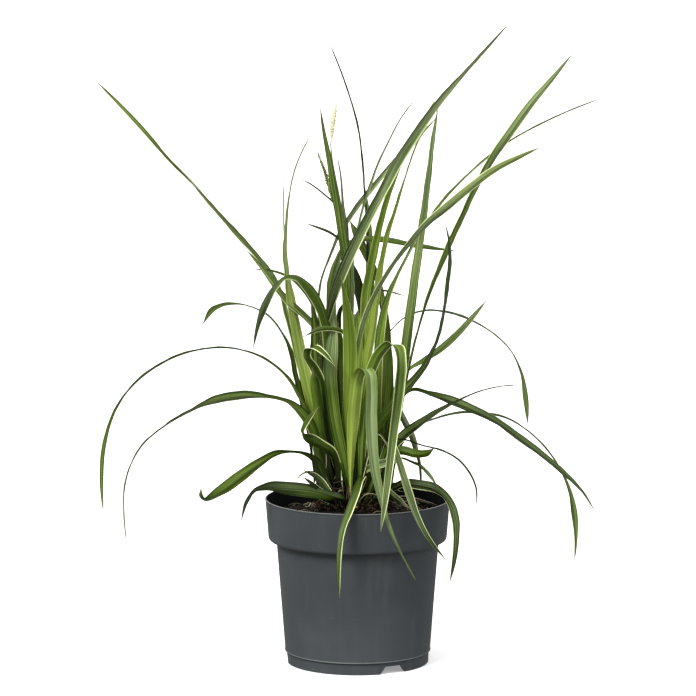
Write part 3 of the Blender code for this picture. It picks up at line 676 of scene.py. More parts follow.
VEIN_SPACING = 1.7 * MM
CREAM_SHARE = 0.115             # the most that a cream edge takes
DRY_TIP, DRY_BLUR = (4, 14), 8 * MM     # how long its dry tip is in mm, and over what run it browns
YOUNG_TONES, YOUNG_CONTRAST, OLD_CONTRAST = {"bright", "fresh"}, 0.45, 0.9
# The darkening of the groove is painted shade.
GROOVE_PAINTED_SHADE = 0.6              # how dark its groove is, where it has no stripes


def strip_faces(rows, count):
    """Faces of a closed strip: its top, its underside, its two edges and its two ends."""
    last, tail = rows * count, (rows - 1) * count
    i, j = np.meshgrid(np.arange(rows - 1), np.arange(count - 1), indexing="ij")
    a, b = i * count + j, (i + 1) * count + j
    first, j = np.arange(rows - 1) * count, np.arange(count - 1)
    end = first + count - 1
    quads = (
        (a, a + 1, b + 1, b),
        (b + last, b + 1 + last, a + 1 + last, a + last),
        (first, first + count, first + count + last, first + last),
        (end + last, end + count + last, end + count, end),
        (j, j + last, j + 1 + last, j + 1),
        (tail + j, tail + j + 1, tail + j + 1 + last, tail + j + last),
    )
    return np.concatenate([np.stack(quad, -1).reshape(-1, 4) for quad in quads])


def blade_tints(settings, look, run, count, sheath):
    """The colours of a blade's corners, its top's and then its underside's, darkened at the foot as painted shade."""
    # Painted shade of the clump: darkest at the foot, fading up the blade.
    depth = np.clip((run - SHADOW_FROM) / SHADOW_RUN, 0, 1)
    depth = (look.lit + (1 - look.lit) * depth * depth * (3 - 2 * depth))[:, None, None]
    rows = [tones(settings, words, run / run[-1])[:, None, :] for words in look.faces()]
    tints = [np.repeat(row, count, axis=1) * depth for row in rows]
    if sheath:
        foot = np.clip(1 - run / sheath, 0, 1)[:, None, None] ** 0.7
        tints = [tint + (np.array(settings.sheath) - tint) * foot for tint in tints]
    tints = np.concatenate([tint.reshape(-1, 3) for tint in tints])
    return np.concatenate([tints, np.ones((len(tints), 1))], axis=1)


def blade(rails, settings, look, seed, sheath=0.0, point=12 * MM, thick=1.0):
    """One closed blade through its rails, as a dictionary of arrays.

    sheath is how far up it shows the colour of its foot, and point how far down its tip tapers.
    thick is how thick it is beside a full leaf.
    """
    rng = random.Random(seed)
    rows, run = drawn(rails, settings.row_length)
    left, middle, right = rows[:, 0], rows[:, 1], rows[:, 2]
    along = unit(np.gradient(middle, axis=0))
    across = right - left
    across = unit(across - along * np.sum(across * along, axis=1, keepdims=True))
    up = np.cross(across, along)
    wide = np.linalg.norm(right - left, axis=1)
    total = run[-1]
    share = run / total
    taper = np.clip(np.sqrt(np.clip((total - run) / min(point, total / 3), 0, 1)), TIP_SHARE, 1)
    shown = wide * np.clip(SLIM + wide / WHOLE_WIDTH, SLIMMEST, 1.0) * look.full + ADDED_WIDTH
    least = (THIN_TIP + THIN_BLADE * np.clip((total - run) / THIN_RUN, 0, 1)) * MM
    slim = np.maximum(shown * taper, least) / wide
    closed, closed_run = look.folded
    opened = np.clip(run / (closed_run * MM), 0, 1)
    opened = closed + (1 - closed) * opened * opened * (3 - 2 * opened)

    count = settings.columns + 1
    u = np.sin(np.linspace(-1, 1, count) * math.pi / 2) * 0.35 + np.linspace(-1, 1, count) * 0.65
    a = np.abs(u)
    edge = np.where(u[None, :, None] < 0, left[:, None, :], right[:, None, :]) - middle[:, None, :]
    sideways = across[:, None, :] * np.sum(edge * across[:, None, :], axis=2, keepdims=True)
    raised = up[:, None, :] * (np.sqrt(1 - opened**2) * wide * FOLD_RISE)[:, None, None]
    edge = edge - sideways * (1 - opened)[:, None, None] + raised
    body = middle[:, None, :] + edge * (a[None, :, None] * slim[:, None, None])
    keel = (np.sqrt(a**2 + KEEL_ROUND) - a) * KEEL + CUP * a * (1 - a) - MIDRIB * (1 - a)
    body = body + up[:, None, :] * (wide * slim)[:, None, None] * keel[None, :, None]
    waves = np.zeros((len(run), count))
    for sign in (-1, 1):
        phase, pitch = rng.uniform(0, math.tau), rng.uniform(*WAVE_PITCH) * MM
        swing = np.sin(run / pitch * math.tau + phase) + 0.5 * np.sin(run / pitch * 2.7 * math.tau + phase * 3)
        waves += np.outer(swing * np.minimum(1, run / WAVE_FROM), np.where(u * sign > 0, a**2, 0))
    body = body + up[:, None, :] * (waves * np.minimum(settings.wave, wide * 0.05)[:, None])[:, :, None]
    slope = edge * np.where(u[None, :, None] < 0, -1, 1) + across[:, None, :] * 1e-4
    out = unit(np.cross(unit(slope), along[:, None, :]))
    out = unit(out + up[:, None, :] * np.exp(-((a / CREST_WIDTH) ** 2))[None, :, None] * 2)
    rod = np.clip(ROD - ROD_LOSS * wide * slim, 0, ROD_MOST) * np.maximum(taper, 0.6)
    plump = np.maximum(settings.thickness * thick * np.minimum(1, 0.25 + wide / (6 * MM)) * taper, rod)
    half = 0.5 * np.outer(plump, 1 - EDGE_THIN * a**2)
    ridge = RIDGE * thick * np.outer(np.clip(1 - share * 1.3, 0, 1), np.exp(-((a / RIDGE_WIDTH) ** 2)))
    top = body + out * half[:, :, None]
    under = body - out * (half + ridge)[:, :, None]
    corners = np.concatenate([top.reshape(-1, 3), under.reshape(-1, 3)])

    def both(values):
        """One value for each corner of the top and the underside."""
        return np.tile(np.broadcast_to(values, (len(run), count)).ravel(), 2)

    whole = np.ones(len(corners))
    veins = max(3, round(wide.max() / VEIN_SPACING)) * 2
    cream = np.where(u < 0, look.left, look.right)[None, :] * np.clip(share / 0.28, 0.25, 1)[:, None]
    rim = np.minimum(settings.margin, wide * slim * CREAM_SHARE)[:, None]
    young = YOUNG_TONES & set(look.faces()[1].split())
    faded = np.clip((run - (total - rng.uniform(*DRY_TIP) * MM)) / DRY_BLUR, 0, 1)
    return {
        "corners": corners,
        "faces": strip_faces(len(run), count),
        "across": both(u[None, :]),
        "edge": both(np.outer(wide * slim / 2, 1 - a)),
        "run": both(run[:, None]),
        "seed": whole * rng.random(),
        "veins": whole * (math.pi * veins),
        "margin": both(cream),
        "reach": both(cream * rim),
        "stripes": np.repeat([look.stripes, look.stripes * 0.5], len(corners) // 2),
        "rib": whole * look.stripes,
        "groove": whole * (GROOVE_PAINTED_SHADE if look.stripes < 0.1 else 0.0),
        "half": whole * look.half,
        "breadth": whole * wide.max() / 2,
        "contrast": whole * (YOUNG_CONTRAST if young else OLD_CONTRAST),
        "dry": both(faded[:, None]) * rng.uniform(0.3, 1.0),
        "body": blade_tints(settings, look, run, count, sheath),
        "rail": both(np.where(a == 1, u, 0)[None, :]) * np.repeat([1, 2], len(corners) // 2),
    }


def blade_mesh(name, blades):
    """One mesh of several blades, with their edges kept crisp."""
    mesh = bpy.data.meshes.new(name)
    starts = np.cumsum([0] + [len(b["corners"]) for b in blades[:-1]])
    joined = {key: np.concatenate([b[key] for b in blades]) for key in blades[0] if key != "faces"}
    faces = np.concatenate([b["faces"] + start for b, start in zip(blades, starts)])
    mesh.from_pydata(joined.pop("corners").tolist(), [], faces.tolist())
    rail = joined.pop("rail")
    for key, values in joined.items():
        store(mesh, key, "FLOAT_COLOR" if key == "body" else "FLOAT", values)
    smoothed(mesh)
    ends = np.empty(len(mesh.edges) * 2, np.int32)
    mesh.edges.foreach_get("vertices", ends)
    one, other = rail[ends[::2]], rail[ends[1::2]]
    mesh.attributes.new("sharp_edge", "BOOLEAN", "EDGE").data.foreach_set("value", (one != 0) & (one == other))
    return mesh


def rooted(rails):
    """The rails carried on down into the heart of the tuft, where the blade closes to a sheath."""
    left, middle, right = rails[0]
    heart = TUFT + Vector(((middle.x - TUFT.x) * 0.4, (middle.y - TUFT.y) * 0.4, -8 * MM))
    side = (right - left) / 2
    foot = []
    for way in (0.0, 0.4, 0.75):
        place = heart.lerp(middle, way)
        up = ((left + right) / 2 - middle) * (2.2 - 1.2 * way)
        foot.append([place - side * (0.7 + 0.3 * way) + up, place, place + side * (0.7 + 0.3 * way) + up])
    return foot + rails


def eased(rails, rows, bows):
    """The rails moved and widened.

    rows are (hundredths of the length, right and up in mm, width), and bows (hundredths, to the front in mm).
    """
    reach = np.cumsum([0] + [(q[1] - p[1]).length for p, q in zip(rails, rails[1:])])
    places, *shifts = zip(*rows)
    bow_places, bow = zip(*bows)
    moved = []
    for rail, share in zip(rails, reach / reach[-1]):
        right, up, wide = (np.interp(share, np.divide(places, 100), values) for values in shifts)
        shift = Vector((right, -np.interp(share, np.divide(bow_places, 100), bow), up)) * MM
        moved.append([rail[1] + (corner - rail[1]) * wide + shift for corner in rail])
    return moved


def on_route(route, depths):
    """The points of a route of (across, down, ...) in cells of the photo's frame.

    depths are how far behind the pot's axis they stand in mm, spread evenly along the route.
    """
    places = np.linspace(0, len(depths) - 1, len(route))
    middle = FRAME_CELLS / 2
    points = []
    for (across, down, *_), depth in zip(route, np.interp(places, np.arange(len(depths)), depths)):
        ray = EYE_TURN.to_matrix() @ Vector(((across - middle) / EYE_REACH, (middle - down) / EYE_REACH, -1))
        points.append(EYE + ray * ((depth * MM - EYE.y) / ray.y))
    return points


def strip_rails(points, widths, fold=0.16, lean=None):
    """Rails for a blade through points, each as wide as it is told and turned to the front."""
    rails = []
    for i, (point, width) in enumerate(zip(points, widths)):
        along = direction(points, i)
        view = lean if lean is not None else (point - EYE).normalized()
        side = view.cross(along).normalized() * (width / 2)
        up = side.cross(along).normalized() * (width * fold)
        rails.append([point - side + up, point, point + side + up])
    return rails


PLAIN_LOOK = Look("olive", 0.3, 0.3, 0.05)      # of the leaves on the far side
SHEATH_LOOK = Look("sheath", 0.2, 0.2, lit=1.0, folded=(0.8, 45))
# The leaves that the photo shows, by their names without leaf_
LOOKS = {
    "left_long": Look("olive bloom olive", 1.0, 0.6, 0.25),
    "left_parallel": Look("olive soft", 0.6, 0.3, 0.1),
    "left_light": Look("fresh lime silver", 0.4, 1.0, 0.15, half=0.18),
    "left_arch": Look("olive olive dark", 0.6, 0.2),
    "left_thin_arch": Look("olive", 0.1, 0.1, full=1.25),
    "left_hook": Look("olive", 0.2, 0.3),
    "left_big_arc": Look("olive / olive green", 0.2, 0.2, 0.1),
    "left_second_arc": Look("green soft grey", 0.2, 0.8, 0.1, half=0.12),
    "left_wide_low": Look("olive green green", 0.3, 0.4, 0.05, half=0.25),
    "left_rim": Look("olive bloom", 0.2, 0.1, lit=0.6, half=-0.35),
    "left_short": Look("bloom", 0.5, 0.8, 0.1, lit=0.6, half=-0.2),
    "fold_low_left": Look("dark olive", 0.3, 0.8),
    "fold_mid_left": Look("dark olive", 0.9, 0.9),
    "small_level": Look("olive", 0.8, 0.5),
    "centre_left_tall": Look("green olive", 0.2, 0.4, 0.1, half=-0.06),
    "crossing_left": Look("grey silver", 0.2, 0.9, 0.1),
    "tall_right": Look("dark grey silver", 0.3, 1.1, 0.3, half=0.12),
    "arch_right": Look("dark olive", 0.1, 0.35, 0.05),
    "leaning_left": Look("olive", 0.3, 0.3, 0.15, full=1.4),
    "thin_dark_arch": Look("dark", 0.0, 0.0),
    "thin_right": Look("grey silver", 0.2, 0.7, 0.1, lit=0.5, half=0.2),
    "centre_right_tall": Look("fresh", 0.5, 0.4, 0.1, half=-0.05),
    "kinked": Look("fresh bright", 0.3, 0.8, 0.1, half=0.1),
    "tall_light": Look("olive soft grey", 0.4, 0.3, 0.12),
    "crossing_right": Look("green grey soft", 0.8, 0.8, 0.15, half=0.1),
    "thin_far_right": Look("green green dark", 0.2, 0.7, 0.05, half=0.3),
    "tall_far_right": Look("olive green grey", 0.6, 0.8, 0.2, half=0.1),
    "dark_right": Look("green bloom", 0.3, 0.4, 0.05, half=0.2),
    "right_mid": Look("olive olive soft", 0.3, 0.5, half=-0.35),
    "front_fold_right": Look("green olive bloom / green", 0.6, 0.9, 0.1, lit=0.6),
    "front_fold_centre": Look(
        "green grey bloom / bright green green", 0.3, 0.4, 0.1, lit=1.0, half=0.06, folded=(0.5, 100)),
    "centre_bright": Look("green fresh green", 0.5, 0.5, lit=0.35, half=0.1, folded=(0.4, 80)),
    "dark_wide_back": Look("dark", 0.1, 0.1, full=1.5),
    "dark_arc": Look("olive bloom", 0.2, 0.3, lit=0.7),
    "left_short_light": Look("olive green", 0.3, 0.1, lit=0.12, half=-0.3),
    "light_strip": Look("green", 0.4, 0.3, 0.1, lit=0.8),
    "right_rise": Look("olive bloom", 0.1, 0.8, 0.05),
    "right_long_arc": Look("olive bloom", 0.3, 0.4, half=-0.15),
    "right_second_arc": Look("dark dark soft", 0.2, 0.5),
    "right_high_arc": Look("grey dark soft", 0.0, 0.1),
    "right_thin_low": Look("dark", 0.0, 0.0),
    "right_hook": Look("olive green", 0.3, 0.3),
    "back_drop": Look("silver silver green", 0.2, 0.8, 0.05, lit=1.0),
    "right_thin_drop": Look("dark dark bloom", 0.1, 0.1),
    "right_rim": Look("dark bloom dark", 0.9, 0.3, 0.1, lit=0.6),
    "front_right_rim": Look("olive bloom dark / olive dark", 0.5, 0.7, 0.1, lit=0.55),
    "front_centre_rim": Look("dark olive bloom", 0.1, 0.9, lit=0.45, half=0.05, folded=(0.7, 45)),
    "soil_right": Look("bloom / dark", 0.3, 0.6, 0.1, lit=0.8),
}
# leaf: rows of (hundredths of its length, right and up in mm, width) by which its blade leaves the solid's middle
EASED = {
    "tall_right": (
        (41, 0, 0, 1), (48, 0.8, 0, 1), (54, 2.3, 0, 0.9), (61, 3.2, 0, 0.85), (68, 1.5, 0, 1), (74, 1.7, 0, 1),
        (81, -0.3, 0, 1), (87, -1.2, 0.2, 0.85), (94, -1.4, 0.5, 0.9), (100, 0.3, 1.5, 1)),
    "kinked": (
        (44, 0, 0, 1), (57, 0, 0, 1.2), (64, -0.2, 0, 1.25), (70, -0.4, 0, 1.25), (75, 0.9, 0, 1), (83, 0.9, 0, 0.65),
        (90, 0.5, 0, 0.6), (94, 0.5, 0, 1.4), (100, 0, 0, 2)),
    "tall_light": ((30, 0.7, 0, 1.2), (60, 0.4, 0, 1.15), (85, 1, 1, 1), (100, 1, 4, 1.2)),
    "crossing_right": (
        (44, 0, 0, 1), (57, 1.2, -0.9, 1), (66, 1.5, -1.7, 1.1), (72, 1.2, -1.5, 1.08), (78, 0.7, -0.9, 1),
        (85, 0.3, -0.3, 1), (100, 0, 0, 1)),
    "thin_far_right": (
        (24, -1, 0, 1.2), (31, -2, 0, 1.3), (37, -1.5, 0, 1.35), (43, -1, 0, 1.1), (50, 0.8, -0.5, 0.9),
        (56, 0.3, -0.7, 0.9), (62, 0, -1.2, 0.9), (68, 0, -1.4, 0.9), (72, 0, -2.2, 0.95), (76, 0, -2, 1),
        (81, 0, -1, 1), (100, 0, -0.5, 1)),
    "dark_right": (
        (35, 1, 0, 1), (47, 0.5, 0, 0.95), (60, 0.3, 0, 0.85), (66, 0.9, 0, 0.8), (73, 1.3, 0, 0.9),
        (80, 1.2, 0, 0.95), (87, 1.5, 0, 1.1), (93, 0.4, 0, 1), (100, -1, 1, 1.2)),
    "tall_far_right": (
        (25, 1, 0, 0.9), (37, 0.5, 0, 0.6), (43, 2, 0, 0.8), (49, 2.5, 0, 1.05), (56, 2.3, 0, 1.15), (62, 1.7, 0, 1.1),
        (67, 0.7, 0, 1), (75, -1, 0, 1), (81, -2, 0, 1), (91, -1.2, 0, 1), (100, 0.3, 0.3, 1.1)),
    "arch_right": ((66, 0, 0, 1), (74, 0, 0.7, 1.15), (87, 0, 0.8, 1.2), (100, 0, 0.5, 1)),
    "left_light": (
        (33, 2.5, 0, 1), (44, 1, 0, 0.85), (50, 0.7, 0, 0.85), (57, 1.2, 0, 0.95), (65, 1.3, 0, 0.95), (70, 1, 0, 0.9),
        (76, 2, 0, 0.65), (85, 2.2, 0, 0.45), (100, 1, 0, 0.8)),
    "left_parallel": ((50, 0, 0, 1), (64, 0, 0, 1.1), (84, 0, 0, 1.1), (100, 0, 0, 1)),
    "left_hook": (
        (27, 0, 0, 1), (35, 0.3, 0, 1.2), (43, 0.5, 0, 1.35), (52, -0.4, 0, 1.3), (59, -0.8, 0, 1.15),
        (66, 0, 0.3, 0.9), (72, 0, 0, 0.8), (79, 0, -0.5, 0.7), (84, 0, -0.6, 0.65), (90, -0.5, -0.5, 1.1),
        (94, -1.2, -0.5, 1.2), (100, -1.5, -1.5, 1.4)),
    "left_arch": (
        (60, 0, 0, 1), (66, 0, 1, 1.1), (71, 0, 2.5, 1.1), (75, 0, 1.5, 1), (80, -0.8, 0.5, 1), (84, -1.2, 0, 1.15),
        (87, -1.4, 0, 1.2), (93, -0.8, 0, 1.05), (100, -0.5, 0, 1.2)),
    "left_big_arc": (
        (20, 0, 0, 1.2), (29, 0, 0, 1.2), (35, 0.3, -1.2, 0.95), (47, 0.3, -1.4, 0.75), (60, 0.5, -1, 0.85),
        (80, 1, -0.5, 0.9), (100, 1.5, 0, 1)),
    "left_second_arc": (
        (17, 0, 0, 1.2), (24, 0.7, 0, 1.3), (30, 0.7, 0, 1.35), (36, 0, -0.6, 0.95), (41, 0, -1.2, 1),
        (48, 0, -2.2, 1.4), (53, 0, -1.3, 1.4), (61, 0, -0.8, 0.95), (68, 0, -0.7, 0.7), (100, 0, -0.7, 0.8)),
    "left_wide_low": (
        (32, 0, -0.5, 1), (40, 0, -0.8, 0.85), (47, 0, -0.8, 0.7), (54, 0, -1, 1.1), (64, 0, -1.7, 1.25),
        (74, 0.5, -2.7, 1.3), (85, 0.7, -2.8, 1.3), (95, -0.5, -2, 1.6), (100, -0.5, 0, 2.5)),
    "left_rim": (
        (29, 0, 0, 1), (42, 0, 0.3, 1.1), (57, 0, -0.7, 1.05), (71, 0, -1.2, 0.95), (75, -1, -1, 0.8),
        (79, -1, -0.7, 0.75), (86, 0.5, 0, 0.75), (100, 0, -2, 0.9)),
    "right_high_arc": (
        (34, 0, 0, 0.6), (45, 0, -0.5, 0.5), (51, 0, -0.3, 0.7), (62, 0, -0.3, 1), (68, 0, -0.5, 0.9),
        (75, 0, -0.5, 0.7), (81, 0.3, -0.3, 0.7), (86, 0.5, 0, 0.9), (93, 0.8, 0, 1.3), (100, 0.5, 0, 1.8)),
    "right_long_arc": (
        (31, 0, 0, 0.9), (37, 0, -0.8, 0.9), (45, 0, -0.7, 1), (51, 0, -0.5, 1), (65, -0.3, -0.7, 1),
        (79, -0.3, -0.5, 0.95), (90, 0, -1, 1), (100, -1, -1.5, 1)),
    "right_rise": (
        (43, 0, 0, 1), (49, 0, -0.5, 0.95), (58, 0, -0.8, 0.9), (67, 0, -1, 0.75), (76, 0, -0.7, 0.55),
        (85, 0, -0.7, 0.4), (100, 0, -0.5, 0.6)),
    "right_second_arc": (
        (28, 0, 0, 1), (34, 0, -0.5, 0.85), (47, 0, 0, 0.85), (60, 0.5, 0.5, 0.7), (73, 0.5, 0.3, 0.75),
        (80, -0.7, 0, 0.9), (86, -2, 0, 1.2), (93, -2, 0, 1), (100, -1, 0, 1)),
    "front_fold_right": (
        (46, 0, 0, 1), (50, -0.5, 0, 1), (54, -2, 0, 1.1), (58, -3, 0, 1.2), (64, -3, 0, 1.15), (71, -2.8, 0, 1.1),
        (78, -1.8, 0, 1), (86, -1, 0, 1), (100, 0, 0, 1)),
    "back_arch_right": ((40, 0, 0, 1), (54, -1, 0, 1), (65, -2.5, 0, 0.9), (100, -2.5, 0, 0.9)),
    "back_arch_left": ((50, 0, 0, 1), (61, 3, -2, 0.7), (72, 6, -3, 0.6), (85, 7, 0, 0.6), (100, 7, 0, 1)),
    "thin_right": ((39, 0, 0, 1), (45, 2, 0, 1.5), (51, 2, 0, 1.5), (58, 0, 0, 1)),
    "dark_wide_back": ((40, 0, 0, 1), (60, -1.5, 0, 1), (82, 0, 0, 1), (100, 0.5, -1, 1.1)),
    "fold_low_left": ((61, 0, 0, 1), (73, -1, -0.5, 1.1), (79, -1.7, -1, 1.1), (88, -0.5, 0, 1), (100, 0, 0, 1)),
    "right_rim": (
        (23, 0, -1, 1), (38, 0, -1, 1), (47, 1.5, -0.7, 1), (55, 2.2, 0, 1.1), (65, 1.5, 0, 1.05), (76, 0.5, 0, 1),
        (100, 0, 0, 1)),
    "right_hook": ((80, 0, 0, 1), (100, 1, 1.5, 1.3)),
    "right_thin_drop": (
        (40, 0, 0, 1), (53, 0, -0.5, 1.1), (66, 0.2, -1, 1.1), (77, 0.5, 0, 1.15), (87, 1, 0, 1.2), (100, 1, 0, 1.5)),
    "back_drop": (
        (49, 0, 0, 1), (55, -1, 0, 1.2), (64, -0.8, 0, 1.3), (72, -0.3, 0, 1.3), (82, -1, 0, 1.2), (90, 0.6, 0, 1.1),
        (100, 0.8, -5, 2.4)),
    "front_right_rim": (
        (30, 0, 0, 1), (41, -1, 0, 1), (50, -2.5, 0, 0.9), (80, -2.5, 0, 0.95), (89, -1, 0, 1), (100, 6.5, -5, 1.3)),
    "crossing_left": (
        (39, 0, 0, 1.25), (45, 1, 0, 0.9), (56, 1.2, 0, 0.9), (62, -0.3, 0.5, 1.1), (68, -1, 0.8, 1.2),
        (74, -1, 0.8, 1.25), (80, -0.7, 1.5, 1.3), (87, 0, 0, 0.6), (100, 0, 0, 0.5)),
    "front_fold_centre": (
        (0, 0, 0, 0.7), (12, -0.5, 0, 0.75), (20, -0.5, 0, 0.9), (27, 0, 0, 1), (78, 0, 0, 1), (86, -0.4, 0, 0.85),
        (92, -0.6, 0, 0.6), (97, -0.3, 0, 0.6), (100, 0, 0, 1)),
    "centre_right_tall": ((40, 0, 0, 1), (60, -0.8, 0, 0.95), (90, -0.6, 0, 0.95), (100, 0, 2, 1)),
    "right_mid": ((50, 0, 0, 1), (70, 0.5, -0.8, 1.05), (100, 0.4, -0.5, 1.1)),
    "centre_left_tall": (
        (50, 0, 0, 1), (64, -0.5, 0, 0.95), (70, -1, 0, 0.85), (76, -0.3, 0, 0.95), (82, 0, 0, 1), (93, 0, 0, 1),
        (100, -0.5, 3, 1.2)),
    "left_long": ((50, 0, 0, 1), (73, 0.4, 0.4, 1), (87, 0.6, 0.6, 1), (100, 0.6, 0.6, 1)),
    "leaning_left": ((73, 0, 0, 1), (81, 0.5, 0, 1.1), (88, -2, 0, 1.25), (95, -2, 0.5, 1.3), (100, -1.5, 2, 1.6)),
    "back_tall": ((20, 0, 0, 1), (33, -2.5, 0, 1), (60, -2, 0, 1), (80, -1.5, 0, 1), (100, 0, 0, 1)),
}
# leaf: rows of (hundredths of its length, to the front in mm), where it passes in front of others or behind them
BOWED = {
    "left_light": ((33, 0), (44, -8), (50, -9), (57, -9), (65, -3), (70, 0), (100, 0)),
    "left_parallel": ((50, 0), (64, 13), (84, 13), (100, 2)),
}
UNBOWED = ((0, 0),)

# leaf, without side_leaf_: (seed, tones, cream on its left and right edge, share of its colour that it keeps at
# its foot, depths, route of (across, down, width in mm)). Each starts in the tuft.
# The share kept at the foot is what the painted shade of the clump leaves of its colour.
SIDE_LEAVES = {
    "pale_left": (3, "green grey", 0.1, 0.1, 0.3, (-6, 0, 2), (
        (338, 497, 4), (322, 465, 4), (308, 410, 4), (297, 350, 4), (290, 300, 3.4), (286, 262, 2.4), (284, 230, 1.2),
        (283.5, 200, 0.8), (284.5, 170, 0.5))),
    "centre_small": (5, "green grey silver", 0.2, 0.3, 0.3, (4, 20, 36), (
        (348, 497, 4), (348, 400, 4), (348, 300, 4), (346, 240, 4.6), (344, 215, 4), (342.8, 203, 2.8),
        (342, 190, 2.2), (340.8, 176, 1.8), (337.3, 156, 0.7))),
    "centre_tooth": (6, "olive", 0.1, 0.3, 0.3, (6, 22, 30), (
        (349, 497, 4), (349, 400, 4), (348.5, 300, 4), (347, 240, 4.4), (345.5, 220, 3.6), (342.5, 211, 2.4),
        (340.3, 204, 0.7))),
    "upper_left": (7, "olive dark", 0.0, 0.1, 0.3, (10, 34, 44), (
        (350, 497, 3.4), (350, 400, 3.4), (349, 300, 3), (347, 240, 2.6), (341, 213, 2.2), (334, 203, 2),
        (325, 195, 1.7), (315, 187, 1.5), (308, 182.5, 1.3), (300.5, 179.5, 0.7))),
    "mid_left": (9, "olive dark", 0.0, 0.2, 0.3, (8, 26, 30), (
        (349, 497, 3.4), (350, 400, 3.4), (350, 300, 3), (346, 250, 2.6), (338, 238, 2.4), (330, 232.5, 2.8),
        (318, 227.5, 2.4), (304.5, 223, 0.8))),
    "dry_curl": (11, "dark olive fresh", 0.3, 0.2, 0.6, (-20, -30, -44), (
        (338, 496, 2.4), (328, 483, 2.4), (318, 474, 2), (311, 471.5, 1.8), (304, 473, 1.6), (298.5, 477, 1.2),
        (297, 482, 0.7))),
    "small_arch": (13, "olive", 0.2, 0.9, 0.3, (-28, -36, -50), (
        (358, 497, 3), (364, 470, 3), (370, 447, 2.6), (375, 436.5, 2.2), (379.5, 434, 2), (384.5, 440, 1.8),
        (389, 449, 1))),
    "left_stem": (15, "dark", 0.0, 0.0, 0.3, (-14, -24, -26), (
        (334, 497, 1.8), (322, 478, 1.8), (314, 461, 1.6), (311, 452, 1.5), (310.3, 442, 1.5), (309, 425, 0.9))),
    "right_back": (17, "bloom", 0.0, 0.1, 0.3, (10, 26, 34), (
        (354, 497, 3), (360, 420, 3), (364, 340, 2.6), (367, 300, 2.2), (374, 290.5, 2), (384, 290.5, 2),
        (395, 293, 1.6), (406, 296.5, 0.8))),
    "broad_left": (19, "green olive grey", 0.2, 0.4, 0.9, (-16, -30, -33, -28), (
        (350, 492, 7), (346, 475, 8), (341, 450, 10), (336, 425, 11), (332.5, 400, 12), (330.5, 375, 12.5),
        (331, 350, 13.5), (333, 335, 9), (334, 319, 1))),
    "dark_middle": (21, "dark olive", 0.2, 0.5, 0.3, (-2, 8, 10), (
        (350, 494, 6), (346, 440, 7), (343, 390, 7), (341, 360, 7), (339.5, 340, 6), (338, 322, 1))),
    "dark_left": (23, "dark olive", 0.2, 0.3, 0.3, (-8, -16, -20), (
        (342, 496, 8), (332, 470, 10), (325, 440, 11), (321, 410, 10), (317, 380, 9), (314, 350, 7), (313.5, 320, 4.5),
        (311, 300, 1))),
    "low_left": (25, "dark", 0.2, 0.9, 0.5, (-26, -34, -42), (
        (338, 498, 4.5), (330, 495, 5), (321, 490, 5), (312, 483.5, 4.4), (306, 479, 2.6), (303, 477, 0.8))),
    "low_dark": (27, "dark", 0.2, 0.5, 0.3, (-22, -26, -30), (
        (337, 497, 7), (329, 488, 9), (321, 476, 9), (315, 466, 6), (312, 458, 1))),
    "centre_level": (29, "soft grey", 0.45, 0.5, 0.9, (-14, -26, -44, -50), (
        (354, 496, 3), (359, 482, 3.6), (363, 472.5, 5), (371, 467, 7), (382, 463.5, 8), (392, 461, 6.4),
        (403, 458, 1))),
    "centre_curl": (31, "fresh", 0.5, 0.5, 0.3, (-18, -22), (
        (348, 492, 2.4), (345, 480, 2.2), (341.5, 473.5, 2), (338, 474.5, 2), (334, 479, 0.7))),
    "soil_left": (33, "silver", 0.2, 0.9, 0.9, (-12, -16, -22), (
        (340, 499, 3), (333, 505, 3), (326, 503.5, 2.8), (321, 500.5, 2.4), (316.5, 496.5, 0.8))),
    "hanging_tip": (35, "silver silver", 0.5, 0.9, 1.0, (18, 4, -6), (
        (345, 262, 3.4), (338, 285, 5.6), (332, 305, 5.2), (326.5, 325, 3.4), (321.5, 344, 2.2), (316.8, 361, 0.8))),
    "behind_left": (37, "dark bloom", 0.3, 0.5, 0.3, (6, 20, 26), (
        (346, 496, 7), (341, 430, 8), (336, 380, 8), (333, 330, 8), (333, 290, 7), (338, 262, 5), (343, 244, 1))),
    "thin_line": (39, "fresh", 0.0, 0.0, 0.7, (-20, -28), (
        (347, 494, 3), (358, 440, 3), (361, 400, 2.6), (360, 380, 2), (361, 366, 1))),
    "green_point": (41, "fresh", 0.2, 0.3, 0.3, (-4, 8, 12), (
        (354, 496, 6), (357, 450, 7), (358, 400, 7.5), (358.6, 350, 8), (358.7, 332, 7), (358.6, 320, 4.6),
        (358, 309, 1))),
    "right_inner": (43, "green green fresh", 0.5, 0.2, 1.0, (4, 26, 34), (
        (366, 496, 7), (378, 440, 8), (386, 390, 9), (387, 350, 9), (386, 325, 7), (383, 300, 4), (381.5, 286, 1))),
}


class GRASS_OT_leaves(bpy.types.Operator):
    """Draws every leaf as a fine blade over its solid"""

    bl_idname = "grass.leaves"
    bl_label = "Leaves"

    def execute(self, context):
        settings = context.scene.grass_leaves
        material = leaf_material(settings)
        for seed, name in enumerate(n for n in sorted(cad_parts) if n.startswith("leaf_")):
            mesh = blade_mesh(name, [self.drawn_over(name, settings, seed)])
            add_piece(name.replace("leaf_", "blade_", 1), mesh, [material], "leaf", [name])
        return {"FINISHED"}

    def drawn_over(self, name, settings, seed):
        """A blade through a solid's sections, with its look turned to suit where it runs from the foot."""
        leaf = name.removeprefix("leaf_")
        look = LOOKS.get(leaf, PLAIN_LOOK)
        rails = rooted(sections(name))
        left, _, right = rails[len(rails) * 2 // 3]
        if left.x > right.x:
            look = look._replace(left=look.right, right=look.left, half=-look.half)
        if leaf in EASED:
            rails = eased(rails, EASED[leaf], BOWED.get(leaf, UNBOWED))
        return blade(rails, settings, look, seed, sheath=20 * MM)


